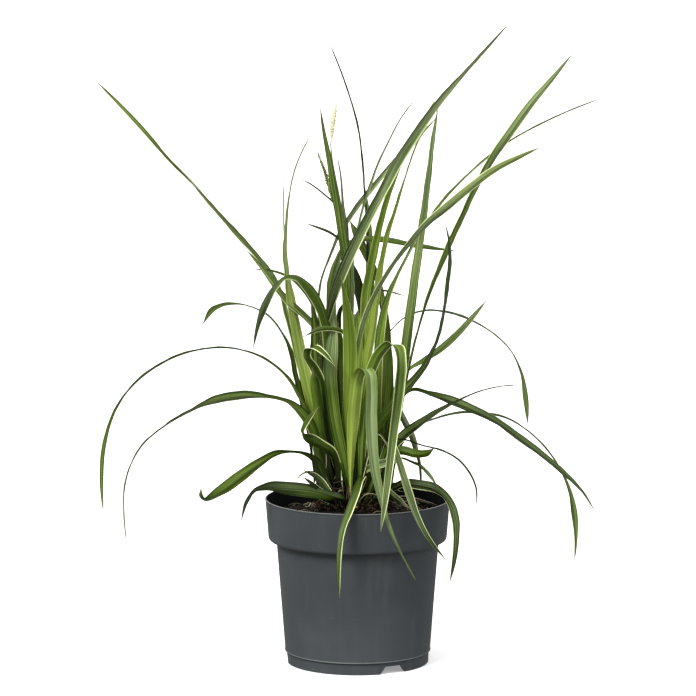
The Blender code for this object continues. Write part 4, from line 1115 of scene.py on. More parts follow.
class GRASS_OT_wisps(bpy.types.Operator):
    """Adds the side leaves that fill the clump between the ones that have solids"""

    bl_idname = "grass.wisps"
    bl_label = "Side Leaves"

    FIRST_SEED = 400
    STRIPES, FOLDED = 0.1, (0.5, 45)

    def execute(self, context):
        settings = context.scene.grass_leaves
        material = bpy.data.materials["leaf_blade"]
        for leaf, (seed, words, left, right, lit, depths, route) in SIDE_LEAVES.items():
            look = Look(words, left, right, self.STRIPES, lit, folded=self.FOLDED)
            rails = strip_rails(on_route(route, depths), [width * MM for _, _, width in route])
            made = blade(rails, settings, look, self.FIRST_SEED + seed, sheath=12 * MM, point=8 * MM, thick=0.7)
            add_piece("side_leaf_" + leaf, blade_mesh("side_leaf_" + leaf, [made]), [material], "leaf")
        return {"FINISHED"}


# ---------------------------------------------------------------- crown and soil

SOIL_EDGE, SOIL_SEAT = 88 * MM, 40 * MM     # the soil falls from the tuft's foot to the wall between these radii
LITTER_EDGE, LITTER_HEART = 86 * MM, 20 * MM    # between which crumbs, chips and fibres lie
FIBRE_EDGE = 87 * MM
TUFT_RADIUS = 42 * MM
SLOT_SOIL, SLOT_CROWN, SLOT_SPIKE = "potting_soil", "crown_fibre", "flower_spike"


def soil_level(settings, x, y):
    """Height of the soil's surface at a place."""
    share = min(1.0, max(0.0, (math.hypot(x, y) - SOIL_SEAT) / (SOIL_EDGE - SOIL_SEAT)))
    level = SOIL_TOP + (settings.edge_height - SOIL_TOP) * share**1.2
    place = Vector((x, y, 0))
    level += 1.6 * MM * noise.fractal(place * 55, 1.0, 2.0, 3) + 0.7 * MM * noise.fractal(place * 260, 0.9, 2.1, 3)
    return level


class GRASS_OT_soil(bpy.types.Operator):
    """Fills the pot with soil, and scatters crumbs, bark chips and root fibres on it"""

    bl_idname = "grass.soil"
    bl_label = "Soil"

    SEED = 11
    GAP = 0.9 * MM                      # between the soil and the pot's wall
    CRUMB_SIZES, CRUMB_FLATS = (0.5, 2.1), (0.55, 1.0)      # in mm, and shares of the size
    CHIP_SIZES, CHIP_FLATS = (1.6, 4.2), (0.22, 0.5)

    def execute(self, context):
        settings, pot = context.scene.grass_soil, context.scene.grass_pot
        ground = self.ground(settings, pot)
        add_piece("soil_ground", ground, [soil_material(settings)], SLOT_SOIL, ["soil"])
        smoothed(ground)
        rng = random.Random(self.SEED)
        crumbs = self.scatter(settings, rng, settings.crumbs, self.CRUMB_SIZES, self.CRUMB_FLATS, self.crumb_tint)
        crumbs.piece("soil_crumbs", bits_material("soil_bits", 0.9, 0.08), SLOT_SOIL, smooth=False)
        chips = self.scatter(settings, rng, settings.chips, self.CHIP_SIZES, self.CHIP_FLATS, self.chip_tint)
        chips.piece("soil_chips", bits_material("bark_chips", 0.85, 0.1, 0.5), SLOT_SOIL, smooth=False)
        self.fibres(settings, rng).piece("soil_fibres", bits_material("root_fibres", 0.7), SLOT_SOIL)
        return {"FINISHED"}

    def ground(self, settings, pot):
        """A closed body of soil with a fine, lumpy surface."""
        clear = pot.wall + self.GAP
        inner = band_radius(pot, settings.edge_height) - clear
        rings = int(inner / settings.grid)
        form = bmesh.new()
        rows = [[form.verts.new((0, 0, soil_level(settings, 0, 0)))]]
        for i in range(1, rings + 1):
            places = ring(inner * i / rings, 6 * i)
            rows.append([form.verts.new((x, y, soil_level(settings, x, y))) for x, y in places])
        for inside, outside in zip(rows, rows[1:]):
            self.band(form, inside, outside)
        edge = rows[-1]
        step, low = pot.band_foot_height + pot.wall + 1 * MM, pot.floor_height + pot.wall + 1 * MM
        below = [(band_radius(pot, step) - clear, step + 4 * MM), (band_radius(pot, step) - clear - 3 * MM, step)]
        below += [(body_radius(pot, z) - clear, z) for z in (step, low)]
        for reach, z in below:
            lower = [form.verts.new((x, y, z)) for x, y in ring(reach, len(edge))]
            for i in range(len(edge)):
                j = (i + 1) % len(edge)
                form.faces.new((edge[i], lower[i], lower[j], edge[j]))
            edge = lower
        form.faces.new(reversed(edge))
        bmesh.ops.recalc_face_normals(form, faces=form.faces)
        return baked(form, "soil_ground")

    def band(self, form, inside, outside):
        """Triangles between one ring of corners and the next, which has six more."""
        few, many = len(inside), len(outside)
        i = j = 0
        while i < few or j < many:
            step_out = few == 1 or (j + 1) * few <= (i + 1) * many - few / 2
            if j < many and (step_out or i >= few):
                form.faces.new((inside[i % few], outside[j % many], outside[(j + 1) % many]))
                j += 1
            else:
                if few == 1:
                    break
                form.faces.new((inside[i % few], outside[j % many], inside[(i + 1) % few]))
                i += 1

    def crumb_tint(self, settings, rng):
        """Mostly moist soil, some of it drier, some reddish and a few pale crumbs."""
        draw = rng.random()
        tints = ((0.55, settings.dark), (0.86, settings.brown), (0.985, settings.red), (1.0, settings.pale))
        return self.tinted(next(tint for most, tint in tints if draw < most), rng)

    def chip_tint(self, settings, rng):
        """Brown or reddish bark, and now and then a dark piece."""
        return self.tinted(rng.choice((settings.brown, settings.red, settings.red, settings.brown, settings.dark)), rng)

    def tinted(self, plain, rng):
        """A colour, a little lighter or darker."""
        shade = rng.uniform(0.6, 1.35)
        return [c * shade for c in plain]

    def place(self, rng):
        """A place on the soil, clear of the tuft."""
        while True:
            x, y = rng.uniform(-90, 90) * MM, rng.uniform(-90, 90) * MM
            if math.hypot(x, y) < LITTER_EDGE and math.hypot(x - TUFT.x, y) > LITTER_HEART:
                return x, y

    def scatter(self, settings, rng, count, sizes, flats, tint):
        """A heap of lumps set into the surface."""
        heap = Heap()
        for _ in range(count):
            x, y = self.place(rng)
            size = rng.uniform(*sizes) * rng.uniform(0.6, 1.0) * MM
            flat = rng.uniform(*flats)
            corners, faces = lump(rng, (size, size * rng.uniform(0.5, 1.0), size * flat), 0.3)
            at = Vector((x, y, soil_level(settings, x, y) + size * 0.25))
            heap.add([c + at for c in corners], faces, tint(settings, rng))
        return heap

    def fibres(self, settings, rng):
        """Fine roots and old fibres that lie over the surface."""
        heap = Heap()
        for _ in range(settings.fibres):
            x, y = self.place(rng)
            bearing, bend = rng.uniform(0, math.tau), rng.uniform(-0.5, 0.5)
            reach = rng.uniform(5, 22) * MM
            points = []
            for i in range(8):
                clear = (0.5 + 1.3 * math.sin(i * 1.1 + bend * 9)) * MM
                points.append(Vector((x, y, soil_level(settings, x, y) + clear)))
                bearing += bend + rng.uniform(-0.3, 0.3)
                x, y = x + math.cos(bearing) * reach / 7, y + math.sin(bearing) * reach / 7
                if math.hypot(x, y) > FIBRE_EDGE:
                    break
            if len(points) > 3:
                width = rng.uniform(0.12, 0.35) * MM
                corners, faces = tube(points, tapered(width, len(points)), 5)
                heap.add(corners, faces, self.tinted(rng.choice((settings.pale, settings.pale, settings.brown)), rng))
        return heap


def tapered(width, count, loss=0.6):
    """Radii that fall evenly from the first, by the share that is lost."""
    return [width * (1 - loss * i / count) for i in range(count)]


# Old sheaths, stems and roots that show one by one at the foot of the clump: (tint, width and thickness in mm,
# depth behind the axis in mm at each end, route in the photo's cells)
STRAWS = (
    ("bark", 1.8, 0.8, (-40, -34), ((346.5, 500), (347.4, 492), (349, 486))),
    ("ochre", 0.9, 0.8, (-41, -35), ((348.2, 500), (348.8, 492), (349.6, 486))),
    ("straw", 2.6, 1.2, (-37, -36), ((338, 492), (340, 491), (342.5, 490.4))),
    ("bark", 1.6, 1.2, (-34, -34), ((329, 487), (337, 489), (345, 487))),
    ("ochre", 1.3, 1.0, (-34, -35), ((331, 494.5), (336, 496), (342, 496))),
    ("bark", 1.5, 1.2, (-30, -30), ((333, 483), (339, 482), (345, 480))),
    ("pale", 0.8, 0.8, (-39, -39), ((326, 454), (326.4, 461), (326, 469))),
    ("bark", 1.1, 1.0, (-30, -42), ((329.5, 498), (333, 489), (337, 477.5))),
    ("pale", 0.9, 0.8, (-38, -44, -40), ((360.5, 499), (366, 494.5), (374, 494), (383, 497.5))),
    ("straw", 0.8, 0.7, (-36, -42, -38), ((359, 496), (367.7, 493), (374.5, 495.7), (379.5, 500))),
    ("pale", 1.0, 0.9, (-20, -24), ((331, 504.5), (335.5, 499.5), (340.5, 498.5))),
    ("pale", 0.9, 0.8, (-18, -22), ((333, 503.5), (339, 502.6), (345, 503.5))),
    ("grey", 1.6, 1.4, (-10, -20), ((383, 486.5), (392.7, 483), (402, 485))),
    ("grey", 1.2, 1.1, (-10, -16), ((392, 487), (398, 490.5), (404, 492))),
    ("pale", 1.0, 0.9, (4, 24, 36), ((392, 497), (406, 496.4), (424, 500.6), (437.5, 505.5))),
    ("straw", 0.8, 0.8, (6, 22, 30), ((394, 498), (409, 499.4), (424, 502), (434, 506))),
    ("pale", 0.9, 0.8, (10, 20), ((402, 503), (411, 500), (420, 504))),
    ("pale", 1.4, 0.9, (6, 14), ((305, 512), (308.5, 507), (311, 503))),
    ("straw", 0.9, 0.8, (0, 16), ((288, 505), (297, 503.5), (306, 506.5))),
    ("ochre", 2.4, 1.4, (-30, -28), ((366, 504), (370, 506), (373, 504.6))),
    ("red", 2.6, 1.8, (-30, -30), ((368, 510), (371.5, 508), (376, 510.5))),
    ("red", 2.2, 1.6, (-28, -26), ((374, 506), (377, 503.5), (380, 504))),
)


class GRASS_OT_crown(bpy.types.Operator):
    """Makes the tuft of old sheaths and fibres that the leaves grow from"""

    bl_idname = "grass.crown"
    bl_label = "Crown"

    SEED, FIRST_SHEATH_SEED = 23, 700
    STRAW_SIDES = 8

    def execute(self, context):
        settings, leaves = context.scene.grass_crown, context.scene.grass_leaves
        rng = random.Random(self.SEED)
        mesh = blade_mesh("crown_sheaths", [self.sheath(i, settings, leaves, rng) for i in range(settings.sheaths)])
        add_piece("crown_sheaths", mesh, [bpy.data.materials["leaf_blade"]], SLOT_CROWN, ["crown"])
        scraps = self.scraps(settings, rng)
        scraps.piece("crown_scraps", bits_material("sheath_scraps", 0.85, 0.15), SLOT_CROWN, smooth=False)
        self.straws(settings, rng).piece("crown_straws", bits_material("straw", 0.7), SLOT_CROWN)
        fibres = self.fibres(settings, context.scene.grass_soil, rng)
        fibres.piece("crown_fibres", bits_material("sheath_fibres", 0.75), SLOT_CROWN)
        return {"FINISHED"}

    def sheath(self, i, settings, leaves, rng):
        """One old sheath. The further out it stands, the shorter it is and the more it leans."""
        bearing = i * GOLDEN_ANGLE + rng.uniform(-0.3, 0.3)
        reach = (3 + 25 * math.sqrt((i + 0.5) / settings.sheaths)) * MM
        lean = rng.uniform(0.1, 0.45) + reach / (60 * MM)
        tall = rng.uniform(9, 26) * MM * (1.2 - reach / TUFT_RADIUS)
        out = heading(bearing)
        sunk = 5 * MM
        foot = TUFT + out * reach * 0.75 - Vector((0, 0, sunk))
        points = []
        for s in (0, 0.25, 0.5, 0.75, 1.0):
            aside = math.sin(lean) * tall * s + tall * 0.25 * s * s
            points.append(foot + out * aside + Vector((0, 0, (math.cos(lean) * tall + sunk) * s)))
        width = rng.uniform(3.5, 8) * MM
        rails = strip_rails(points, [width * s for s in (1, 0.98, 0.85, 0.6, 0.15)], 0.35, out)
        made = blade(rails, leaves, SHEATH_LOOK, self.FIRST_SHEATH_SEED + i, point=3 * MM)
        tint = np.array(rng.choice((settings.bark, settings.bark, settings.ochre, settings.straw, settings.live)))
        shade = rng.uniform(0.6, 1.2)
        fade = np.clip(made["run"] / (tall * 1.1), 0, 1)[:, None]
        made["body"][:, :3] = tint * shade * (0.55 + 0.6 * fade)
        return made

    def scraps(self, settings, rng):
        """Scraps of bark and broken sheath, heaped on the tuft between the leaves."""
        heap = Heap()
        tall = CROWN_HIGH.z - CROWN_LOW.z
        for _ in range(settings.scraps):
            bearing, reach = rng.uniform(0, math.tau), math.sqrt(rng.uniform(0.1, 1)) * 40 * MM
            size = rng.uniform(0.8, 2.2) * MM
            height = tall * (1 - (reach / TUFT_RADIUS) ** 2) * rng.uniform(0.75, 1.0)
            at = TUFT + Vector((math.cos(bearing) * reach, math.sin(bearing) * reach, height))
            corners, faces = lump(rng, (size, size * rng.uniform(0.4, 0.9), size * rng.uniform(0.3, 0.7)), 0.35)
            tint = rng.choice((settings.bark, settings.bark, settings.bark, settings.ochre, settings.red))
            shade = rng.uniform(0.3, 0.95) if rng.random() < 0.94 else 2.6
            heap.add([c + at for c in corners], faces, [c * shade for c in tint])
        return heap

    def straws(self, settings, rng):
        """The sheaths, stems and roots that show one by one."""
        heap = Heap()
        for tint, width, thick, depths, route in STRAWS:
            line = refined(on_route(route, depths))
            ends = [min(1.0, 0.35 + 2.2 * min(i, len(line) - 1 - i) / len(line)) for i in range(len(line))]
            corners, faces = tube(line, [width * MM / 2 * end for end in ends], self.STRAW_SIDES)
            flat = []
            for i, corner in enumerate(corners):
                middle = line[i // self.STRAW_SIDES]
                away = corner - middle
                away.y *= thick / width
                flat.append(middle + away * rng.uniform(0.85, 1.15))
            heap.add(flat, faces, [c * rng.choice((0.8, 1.0)) for c in getattr(settings, tint)])
        return heap

    def fibres(self, settings, soil, rng):
        """Loose fibres that stand and curl round the tuft."""
        heap = Heap()
        for _ in range(settings.fibres):
            bearing = rng.uniform(0, math.tau)
            reach = rng.uniform(6, 33) * MM
            out = heading(bearing)
            side = Vector((-out.y, out.x, 0)) * rng.uniform(-1, 1)
            foot = TUFT + out * reach
            foot.z = soil_level(soil, foot.x, foot.y) - 1 * MM
            tall, fall = rng.uniform(5, 20) * MM, rng.uniform(0.2, 1.3)
            points = []
            for s in np.linspace(0, 1, 7):
                height = max(0.5 * MM, tall * (s - 0.75 * fall * s * s))
                points.append(foot + (out + side) * (tall * 0.7 * s) + Vector((0, 0, height)))
            corners, faces = tube(points, tapered(rng.uniform(0.14, 0.4) * MM, len(points)), 5)
            tint = rng.choice((settings.bark, settings.ochre, settings.ochre, settings.straw))
            shade = rng.uniform(0.5, 1.1)
            heap.add(corners, faces, [c * shade for c in tint])
        return heap


# ---------------------------------------------------------------- spikes


def stem_line(name):
    """The middle of a stem's solid from its foot to its tip."""
    places = sorted((vertex.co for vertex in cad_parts[name].data.vertices), key=lambda place: place.z)
    groups, gap = [places[:1]], 3 * MM
    for place in places[1:]:
        if place.z - groups[-1][-1].z > gap:
            groups.append([])
        groups[-1].append(place)
    return [sum(group, Vector()) / len(group) for group in groups]


def along_line(points, share):
    """The point and direction at a share of a line's length."""
    spans = [(q - p).length for p, q in zip(points, points[1:])]
    left = share * sum(spans)
    for p, q, span in zip(points, points[1:], spans):
        if left <= span or q is points[-1]:
            return p.lerp(q, min(1, left / span)), (q - p).normalized()
        left -= span


def refined(points, times=4):
    """A smooth line through the points."""
    fine = []
    for i in range(len(points) - 1):
        p0, p1, p2, p3 = (points[max(0, min(len(points) - 1, i + k))] for k in (-1, 0, 1, 2))
        for j in range(times):
            t = j / times
            bend, turn = p0 * 2 - p1 * 5 + p2 * 4 - p3, p1 * 3 - p0 - p2 * 3 + p3
            fine.append((p1 * 2 + (p2 - p0) * t + bend * t * t + turn * t**3) / 2)
    return [*fine, points[-1]]


class GRASS_OT_spikes(bpy.types.Operator):
    """Makes the open cream spike and the green beaded one, each on its stem"""

    bl_idname = "grass.spikes"
    bl_label = "Flower Spikes"

    # spike: (share at which its head starts, radius of its stem in mm, how far right in mm it is drawn, at even
    # shares from LEAN_FROM to its tip)
    HEADS = {"spike_cream": (0.9, 1.0, (-1, -2.4, -2.4, 0, 0.2)), "spike_green": (0.86, 0.5, (-0.4, -0.6, -0.8))}
    LEAN_FROM = 0.6
    SCALES, BEADS, BEAD_TURN = 90, 64, 2.2

    def execute(self, context):
        settings = context.scene.grass_spikes
        stem_look = bits_material("spike_stem", 0.5, 0.4, 0.4)
        flower_look = bits_material("spike_flower", 0.75, 0.3, 0.2)
        for name, (head_from, stem_radius, leans) in self.HEADS.items():
            rng = random.Random(name)
            points = stem_line(name)
            foot = TUFT + Vector((points[0].x - TUFT.x, points[0].y - TUFT.y, -12 * MM)) * 0.5
            line = refined([foot, *points])
            shares = [0, *np.linspace(self.LEAN_FROM, 1, len(leans))]
            places = np.interp(np.linspace(0, 1, len(line)), shares, [0, *leans])
            line = [p + Vector((place * MM, 0, 0)) for p, place in zip(line, places)]
            stem = Heap()
            stem.add(*tube(line, tapered(stem_radius * MM, len(line), 0.45), 8), settings.stem)
            stem.piece(name + "_stem", stem_look, SLOT_SPIKE)
            make_head = self.open_head if name == "spike_cream" else self.beads
            make_head(settings, rng, line, head_from).piece(name + "_head", flower_look, SLOT_SPIKE, [name])
        return {"FINISHED"}

    def florets(self, line, head_from, count, offset, power):
        """Each floret's place on the stem, the stem's direction there and how far the head swells."""
        for i in range(count):
            share = head_from + (1 - head_from) * (i + offset) / count
            swell = math.sin(math.pi * min(0.97, ((share - head_from) / (1 - head_from)) ** power))
            yield (*along_line(line, share), swell)

    def grain_of(self, rng, along, out, size, stretch, rough, tilt):
        """A lump that leans out from the stem, as (corners, faces)."""
        corners, faces = lump(rng, (size * 0.8, size * 0.8, size * stretch), rough)
        lean = (along + out * tilt).to_track_quat("Z", "Y").to_matrix()
        return [lean @ c for c in corners], faces

    def open_head(self, settings, rng, line, head_from):
        """Scales round the stem, with fine threads of open flowers all over them."""
        heap = Heap()
        for i, (point, along, swell) in enumerate(self.florets(line, head_from, self.SCALES, 0.5, 1.2)):
            out = Matrix.Rotation(i * GOLDEN_ANGLE, 3, along) @ along.orthogonal().normalized()
            corners, faces = self.grain_of(rng, along, out, (0.85 + 1.05 * swell) * MM, 1.6, 0.1, 0.6)
            heap.add([c * 0.9 + point + out * 1.25 * swell * MM for c in corners], faces, settings.cream)
            for _ in range(2):
                spread = rng.uniform(-0.3, 0.8)
                astray = Vector([rng.uniform(-0.4, 0.4) for _ in range(3)])
                tip = (out + along * spread + astray).normalized()
                start = point + out * 0.6 * swell * MM
                reach = rng.uniform(1.4, 2.8) * MM * (0.4 + 0.6 * swell)
                thread = [start, start + tip * reach * 0.5, start + tip * reach - Vector((0, 0, 0.3 * MM))]
                heap.add(*tube(thread, [0.14 * MM, 0.12 * MM, 0.22 * MM], 4), settings.cream)
        return heap

    def beads(self, settings, rng, line, head_from):
        """Plump beads in two rows up the stem, with a scale under each."""
        heap = Heap()
        for i, (point, along, swell) in enumerate(self.florets(line, head_from, self.BEADS, 0.3, 0.7)):
            turn = Matrix.Rotation(i * self.BEAD_TURN + rng.uniform(-0.3, 0.3), 3, along)
            out = turn @ along.orthogonal().normalized()
            corners, faces = self.grain_of(rng, along, out, (0.8 + 0.8 * swell) * MM, 1.4, 0.08, 0.7)
            corners = [c + point + out * (0.35 + 0.65 * swell) * MM for c in corners]
            heap.add(corners, faces, settings.green if i % 3 else settings.tan)
        return heap


# ---------------------------------------------------------------- pot


def body_radius(pot, z):
    """Outside radius of the pot's body at a height."""
    share = (pot.band_foot_height - z) / (pot.band_foot_height - pot.seam_height)
    return pot.body_top_radius + (pot.body_foot_radius - pot.body_top_radius) * share


def band_radius(pot, z):
    """Outside radius of the pot's band at a height."""
    share = (pot.height - z) / (pot.height - pot.band_foot_height)
    return pot.rim_radius + (pot.band_foot_radius - pot.rim_radius) * share


def rounded(outline, steps=5):
    """An outline of (radius, height, rounding) in which each corner with a rounding is an arc."""
    path = []
    for i, (r, z, rounding) in enumerate(outline):
        here = Vector((r, z))
        if not rounding:
            path.append(here)
            continue
        before, after = (Vector(outline[k][:2]) for k in (i - 1, i + 1))
        start = here + (before - here).normalized() * min(rounding, (before - here).length * 0.49)
        end = here + (after - here).normalized() * min(rounding, (after - here).length * 0.49)
        for k in range(steps + 1):
            t = k / steps
            path.append(start * (1 - t) ** 2 + here * 2 * t * (1 - t) + end * t * t)
    return path


class GRASS_OT_pot(bpy.types.Operator):
    """Turns the pot's shell, with its band, lip, seam line, notches and drain holes"""

    bl_idname = "grass.pot"
    bl_label = "Pot"

    STEPS = 240
    NOTCH_BEARINGS = (300, 60, 180)
    NOTCH_FOOT, NOTCH_TOP = 30 * MM, 18 * MM
    DRAIN_RADIUS, DRAIN_RING, DRAINS = 5 * MM, 46 * MM, 6
    PAD_RADIUS = 13 * MM
    # How dark the inside of the wall is painted, as painted shade.
    INSIDE_SHADE = 0.14
    CREASE = math.radians(35)           # an edge sharper than this stays crisp

    def execute(self, context):
        pot = context.scene.grass_pot
        looks = [plastic_material("pot_plastic", pot), plastic_material("pot_inside", pot, self.INSIDE_SHADE)]
        shell = add_piece("pot_shell", self.turned(pot), looks, "pot_plastic", ["pot"])
        self.drill(shell, pot)
        # Faces on the inside of the wall, above the floor, take the painted shade.
        for face in shell.data.polygons:
            turned_in = face.normal.x * face.center.x + face.normal.y * face.center.y < -0.2 * face.center.xy.length
            face.material_index = int(turned_in and face.center.z > pot.floor_height + pot.wall)
        smoothed(shell.data)
        shell.data.set_sharp_from_angle(angle=self.CREASE)
        return {"FINISHED"}

    def turned(self, pot):
        """The shell without its drain holes."""
        angles = self.angles(pot)
        form = bmesh.new()
        rows = []
        for point in rounded(self.outline(pot)):
            if point.x < 1e-6:
                rows.append([form.verts.new((0, 0, point.y))] * len(angles))
            else:
                rows.append([form.verts.new((point.x * math.cos(a), point.x * math.sin(a), point.y)) for a in angles])
        for one, other in zip(rows, rows[1:]):
            for i in range(len(angles)):
                j = (i + 1) % len(angles)
                corners = [one[i], other[i], other[j], one[j]]
                form.faces.new([v for k, v in enumerate(corners) if v not in corners[:k]])
        for vertex in form.verts:
            x, y, z = vertex.co
            if math.hypot(x, y) > pot.foot_radius - pot.foot_width - 1 * MM:
                vertex.co.z = max(z, self.notch(pot, math.atan2(y, x)))
        bmesh.ops.recalc_face_normals(form, faces=form.faces)
        return baked(form, "pot_shell")

    def outline(self, pot):
        """The half section from the floor's middle, up inside, over the rim and down to the foot."""
        low = pot.floor_height + pot.wall
        body, band = partial(body_radius, pot), partial(band_radius, pot)
        step = pot.band_foot_height + pot.wall
        top, corner = pot.height, 4 * MM
        return [
            (0, low, 0),
            (body(low) - pot.wall - 0.7 * MM, low, 2 * MM),
            (body(pot.band_foot_height) - pot.wall, pot.band_foot_height, 0),
            (body(pot.band_foot_height) - pot.wall + 0.6 * MM, step, 1 * MM),
            (band(step) - pot.wall, step, corner),
            (pot.rim_radius - pot.wall, top, 0.6 * MM),
            (pot.rim_radius, top, 0.6 * MM),
            (pot.rim_radius, top - 1.3 * MM, 0.3 * MM),
            (band(top) - 0.45 * MM, top - 1.7 * MM, 0.5 * MM),
            (band(pot.band_foot_height), pot.band_foot_height, corner),
            (pot.body_top_radius, pot.band_foot_height, 0.5 * MM),
            (body(pot.seam_height + 1 * MM), pot.seam_height + 1 * MM, 0.2 * MM),
            (pot.body_foot_radius + 0.7 * MM, pot.seam_height, 0.4 * MM),
            (pot.foot_radius + 0.4 * MM, pot.seam_height - 1.5 * MM, 0.4 * MM),
            (pot.foot_radius, 0, 0.5 * MM),
            (pot.foot_radius - pot.foot_width, 0, 0.5 * MM),
            (pot.foot_radius - pot.foot_width - 0.5 * MM, pot.floor_height, 0.6 * MM),
            (self.PAD_RADIUS + 1.5 * MM, pot.floor_height, 0.6 * MM),
            (self.PAD_RADIUS, 0, 0.5 * MM),
            (0, 0, 0),
        ]

    def angles(self, pot):
        """Even steps round the pot, with one at each corner of each notch."""
        found = {math.tau * i / self.STEPS for i in range(self.STEPS)}
        for bearing in self.NOTCH_BEARINGS:
            for half in (self.NOTCH_FOOT / 2, self.NOTCH_TOP / 2):
                for sign in (-1, 1):
                    exact = (math.radians(bearing) + sign * math.asin(half / pot.foot_radius)) % math.tau
                    found -= {a for a in found if abs(a - exact) < 0.4 * math.tau / self.STEPS}
                    found.add(exact)
        return sorted(found)

    def notch(self, pot, angle):
        """Height that the notches clear at an angle."""
        height = 0.0
        for bearing in self.NOTCH_BEARINGS:
            turn = (angle - math.radians(bearing) + math.pi) % math.tau - math.pi
            if abs(turn) < math.pi / 4:
                off = abs(math.sin(turn)) * pot.foot_radius
                share = (self.NOTCH_FOOT / 2 - off) / ((self.NOTCH_FOOT - self.NOTCH_TOP) / 2)
                height = max(height, pot.notch_height * min(1, max(0, share)))
        return height

    def drill(self, shell, pot):
        """Drills the drain holes through the floor."""
        form = bmesh.new()
        for x, y in ring(self.DRAIN_RING, self.DRAINS):
            bmesh.ops.create_cone(
                form, cap_ends=True, segments=32, radius1=self.DRAIN_RADIUS, radius2=self.DRAIN_RADIUS, depth=8 * MM,
                matrix=Matrix.Translation((x, y, pot.floor_height)),
            )
        cutter = bpy.data.objects.new("drains", baked(form, "drains"))
        bpy.context.scene.collection.objects.link(cutter)
        modifier = shell.modifiers.new("Drains", "BOOLEAN")
        modifier.operation, modifier.object, modifier.solver = "DIFFERENCE", cutter, "EXACT"
        depsgraph = bpy.context.evaluated_depsgraph_get()
        bored = bpy.data.meshes.new_from_object(shell.evaluated_get(depsgraph), depsgraph=depsgraph)
        shell.modifiers.clear()
        shell.data = bored
        bpy.data.objects.remove(cutter)


# ---------------------------------------------------------------- stage


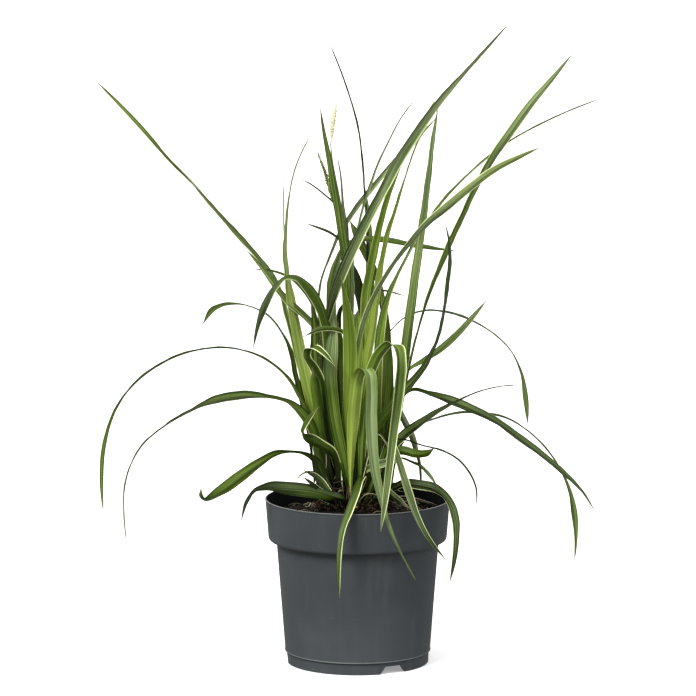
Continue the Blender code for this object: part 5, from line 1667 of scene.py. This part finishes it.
class GRASS_OT_stage(bpy.types.Operator):
    """Sets the pale floor, the soft light and the camera"""

    bl_idname = "grass.stage"
    bl_label = "Stage"

    WHITE = (1, 1, 1, 1)
    KEY_FROM, KEY_TINT = (-0.75, -0.95, 1.25), (1.0, 0.985, 0.95)
    FILL_FROM, FILL_TINT = (1.1, -0.9, 0.7), (0.95, 0.975, 1.0)
    FARTHEST = 200                      # metres that the camera sees

    def execute(self, context):
        settings, scene = context.scene.grass_stage, context.scene
        self.floor(settings, scene)
        self.light("key", settings.key, settings.softness, self.KEY_FROM, self.KEY_TINT)
        self.light("fill", settings.fill, settings.softness, self.FILL_FROM, self.FILL_TINT)
        scene.world = self.sky(settings)
        scene.view_settings.view_transform = "Standard"

        lens = bpy.data.cameras.new("eye")
        lens.lens = SENSOR_MM * EYE_REACH / FRAME_CELLS
        lens.sensor_width = SENSOR_MM
        lens.clip_end = self.FARTHEST
        camera = bpy.data.objects.new("eye", lens)
        scene.collection.objects.link(camera)
        camera.location, camera.rotation_euler = EYE, EYE_TURN
        scene.camera = camera
        return {"FINISHED"}

    def floor(self, settings, scene):
        """A pale floor with a faint drift of tone, which sends no light up at the pot."""
        material, tree, shader = surface("floor_paper", 0.2)
        soft = grain(tree, object_place(tree), 30.0, 3.0)
        base = blend(tree, rise(tree, soft, 0.3, 0.7), settings.floor, [c * 0.985 for c in settings.floor])
        finish(tree, shader, base, rise(tree, soft, 0.3, 0.7, 0.8, 0.9))
        shader.inputs["Emission Color"].default_value = self.WHITE
        shader.inputs["Emission Strength"].default_value = settings.glow
        half = settings.floor_size / 2
        mesh = bpy.data.meshes.new("floor")
        mesh.from_pydata([(-half, -half, 0), (half, -half, 0), (half, half, 0), (-half, half, 0)], [], [(0, 1, 2, 3)])
        mesh.materials.append(material)
        floor = bpy.data.objects.new("floor", mesh)
        scene.collection.objects.link(floor)
        floor.visible_diffuse = floor.visible_glossy = False

    def sky(self, settings):
        """Even light, stronger from overhead than from the sides."""
        world = bpy.data.worlds.new("studio")
        world.use_nodes = True
        tree = world.node_tree
        way = node(tree, "ShaderNodeTexCoord").outputs["Generated"]
        height = node(tree, "ShaderNodeSeparateXYZ", {0: way}).outputs[2]
        back = tree.nodes["Background"]
        tree.links.new(rise(tree, height, 0.0, 0.9, settings.side_sky, settings.sky), back.inputs["Strength"])
        back.inputs["Color"].default_value = self.WHITE
        return world

    def light(self, name, power, softness, way, tint):
        """A broad, soft light that shines from a direction."""
        lamp = bpy.data.lights.new(name, "SUN")
        lamp.energy, lamp.angle, lamp.color = power, softness, tint
        made = bpy.data.objects.new(name, lamp)
        bpy.context.scene.collection.objects.link(made)
        made.rotation_euler = Vector(way).to_track_quat("Z", "Y").to_euler()


class VIEW3D_PT_grass(bpy.types.Panel):
    """The pieces of the potted grass, each with its settings"""

    bl_label = "Potted Grass"
    bl_space_type = "VIEW_3D"
    bl_region_type = "UI"
    bl_category = "Grass"

    PARTS = (
        ("grass.stage", "grass_stage"),
        ("grass.pot", "grass_pot"),
        ("grass.soil", "grass_soil"),
        ("grass.leaves", "grass_leaves"),
        ("grass.wisps", None),
        ("grass.crown", "grass_crown"),
        ("grass.spikes", "grass_spikes"),
    )

    def draw(self, context):
        for operator, settings in self.PARTS:
            column = self.layout.column(align=True)
            column.operator(operator)
            group = getattr(context.scene, settings) if settings else None
            for name in group.__annotations__ if group else ():
                column.prop(group, name)


SETTINGS = {
    "grass_stage": GrassStageSettings,
    "grass_pot": GrassPotSettings,
    "grass_soil": GrassSoilSettings,
    "grass_leaves": GrassLeafSettings,
    "grass_crown": GrassCrownSettings,
    "grass_spikes": GrassSpikeSettings,
}
CLASSES = (
    *SETTINGS.values(),
    GRASS_OT_stage,
    GRASS_OT_pot,
    GRASS_OT_soil,
    GRASS_OT_leaves,
    GRASS_OT_wisps,
    GRASS_OT_crown,
    GRASS_OT_spikes,
    VIEW3D_PT_grass,
)


def register():
    """Adds the classes, and the settings to the scene."""
    for made in CLASSES:
        bpy.utils.register_class(made)
    for name, group in SETTINGS.items():
        setattr(bpy.types.Scene, name, PointerProperty(type=group))


def unregister():
    """Takes the settings and the classes away."""
    for name in SETTINGS:
        delattr(bpy.types.Scene, name)
    for made in reversed(CLASSES):
        bpy.utils.unregister_class(made)


def main():
    """Builds the whole scene."""
    register()
    bpy.ops.grass.stage()
    bpy.ops.grass.pot()
    bpy.ops.grass.soil()
    bpy.ops.grass.leaves()
    bpy.ops.grass.wisps()
    bpy.ops.grass.crown()
    bpy.ops.grass.spikes()


if __name__ == "__main__":
    main()
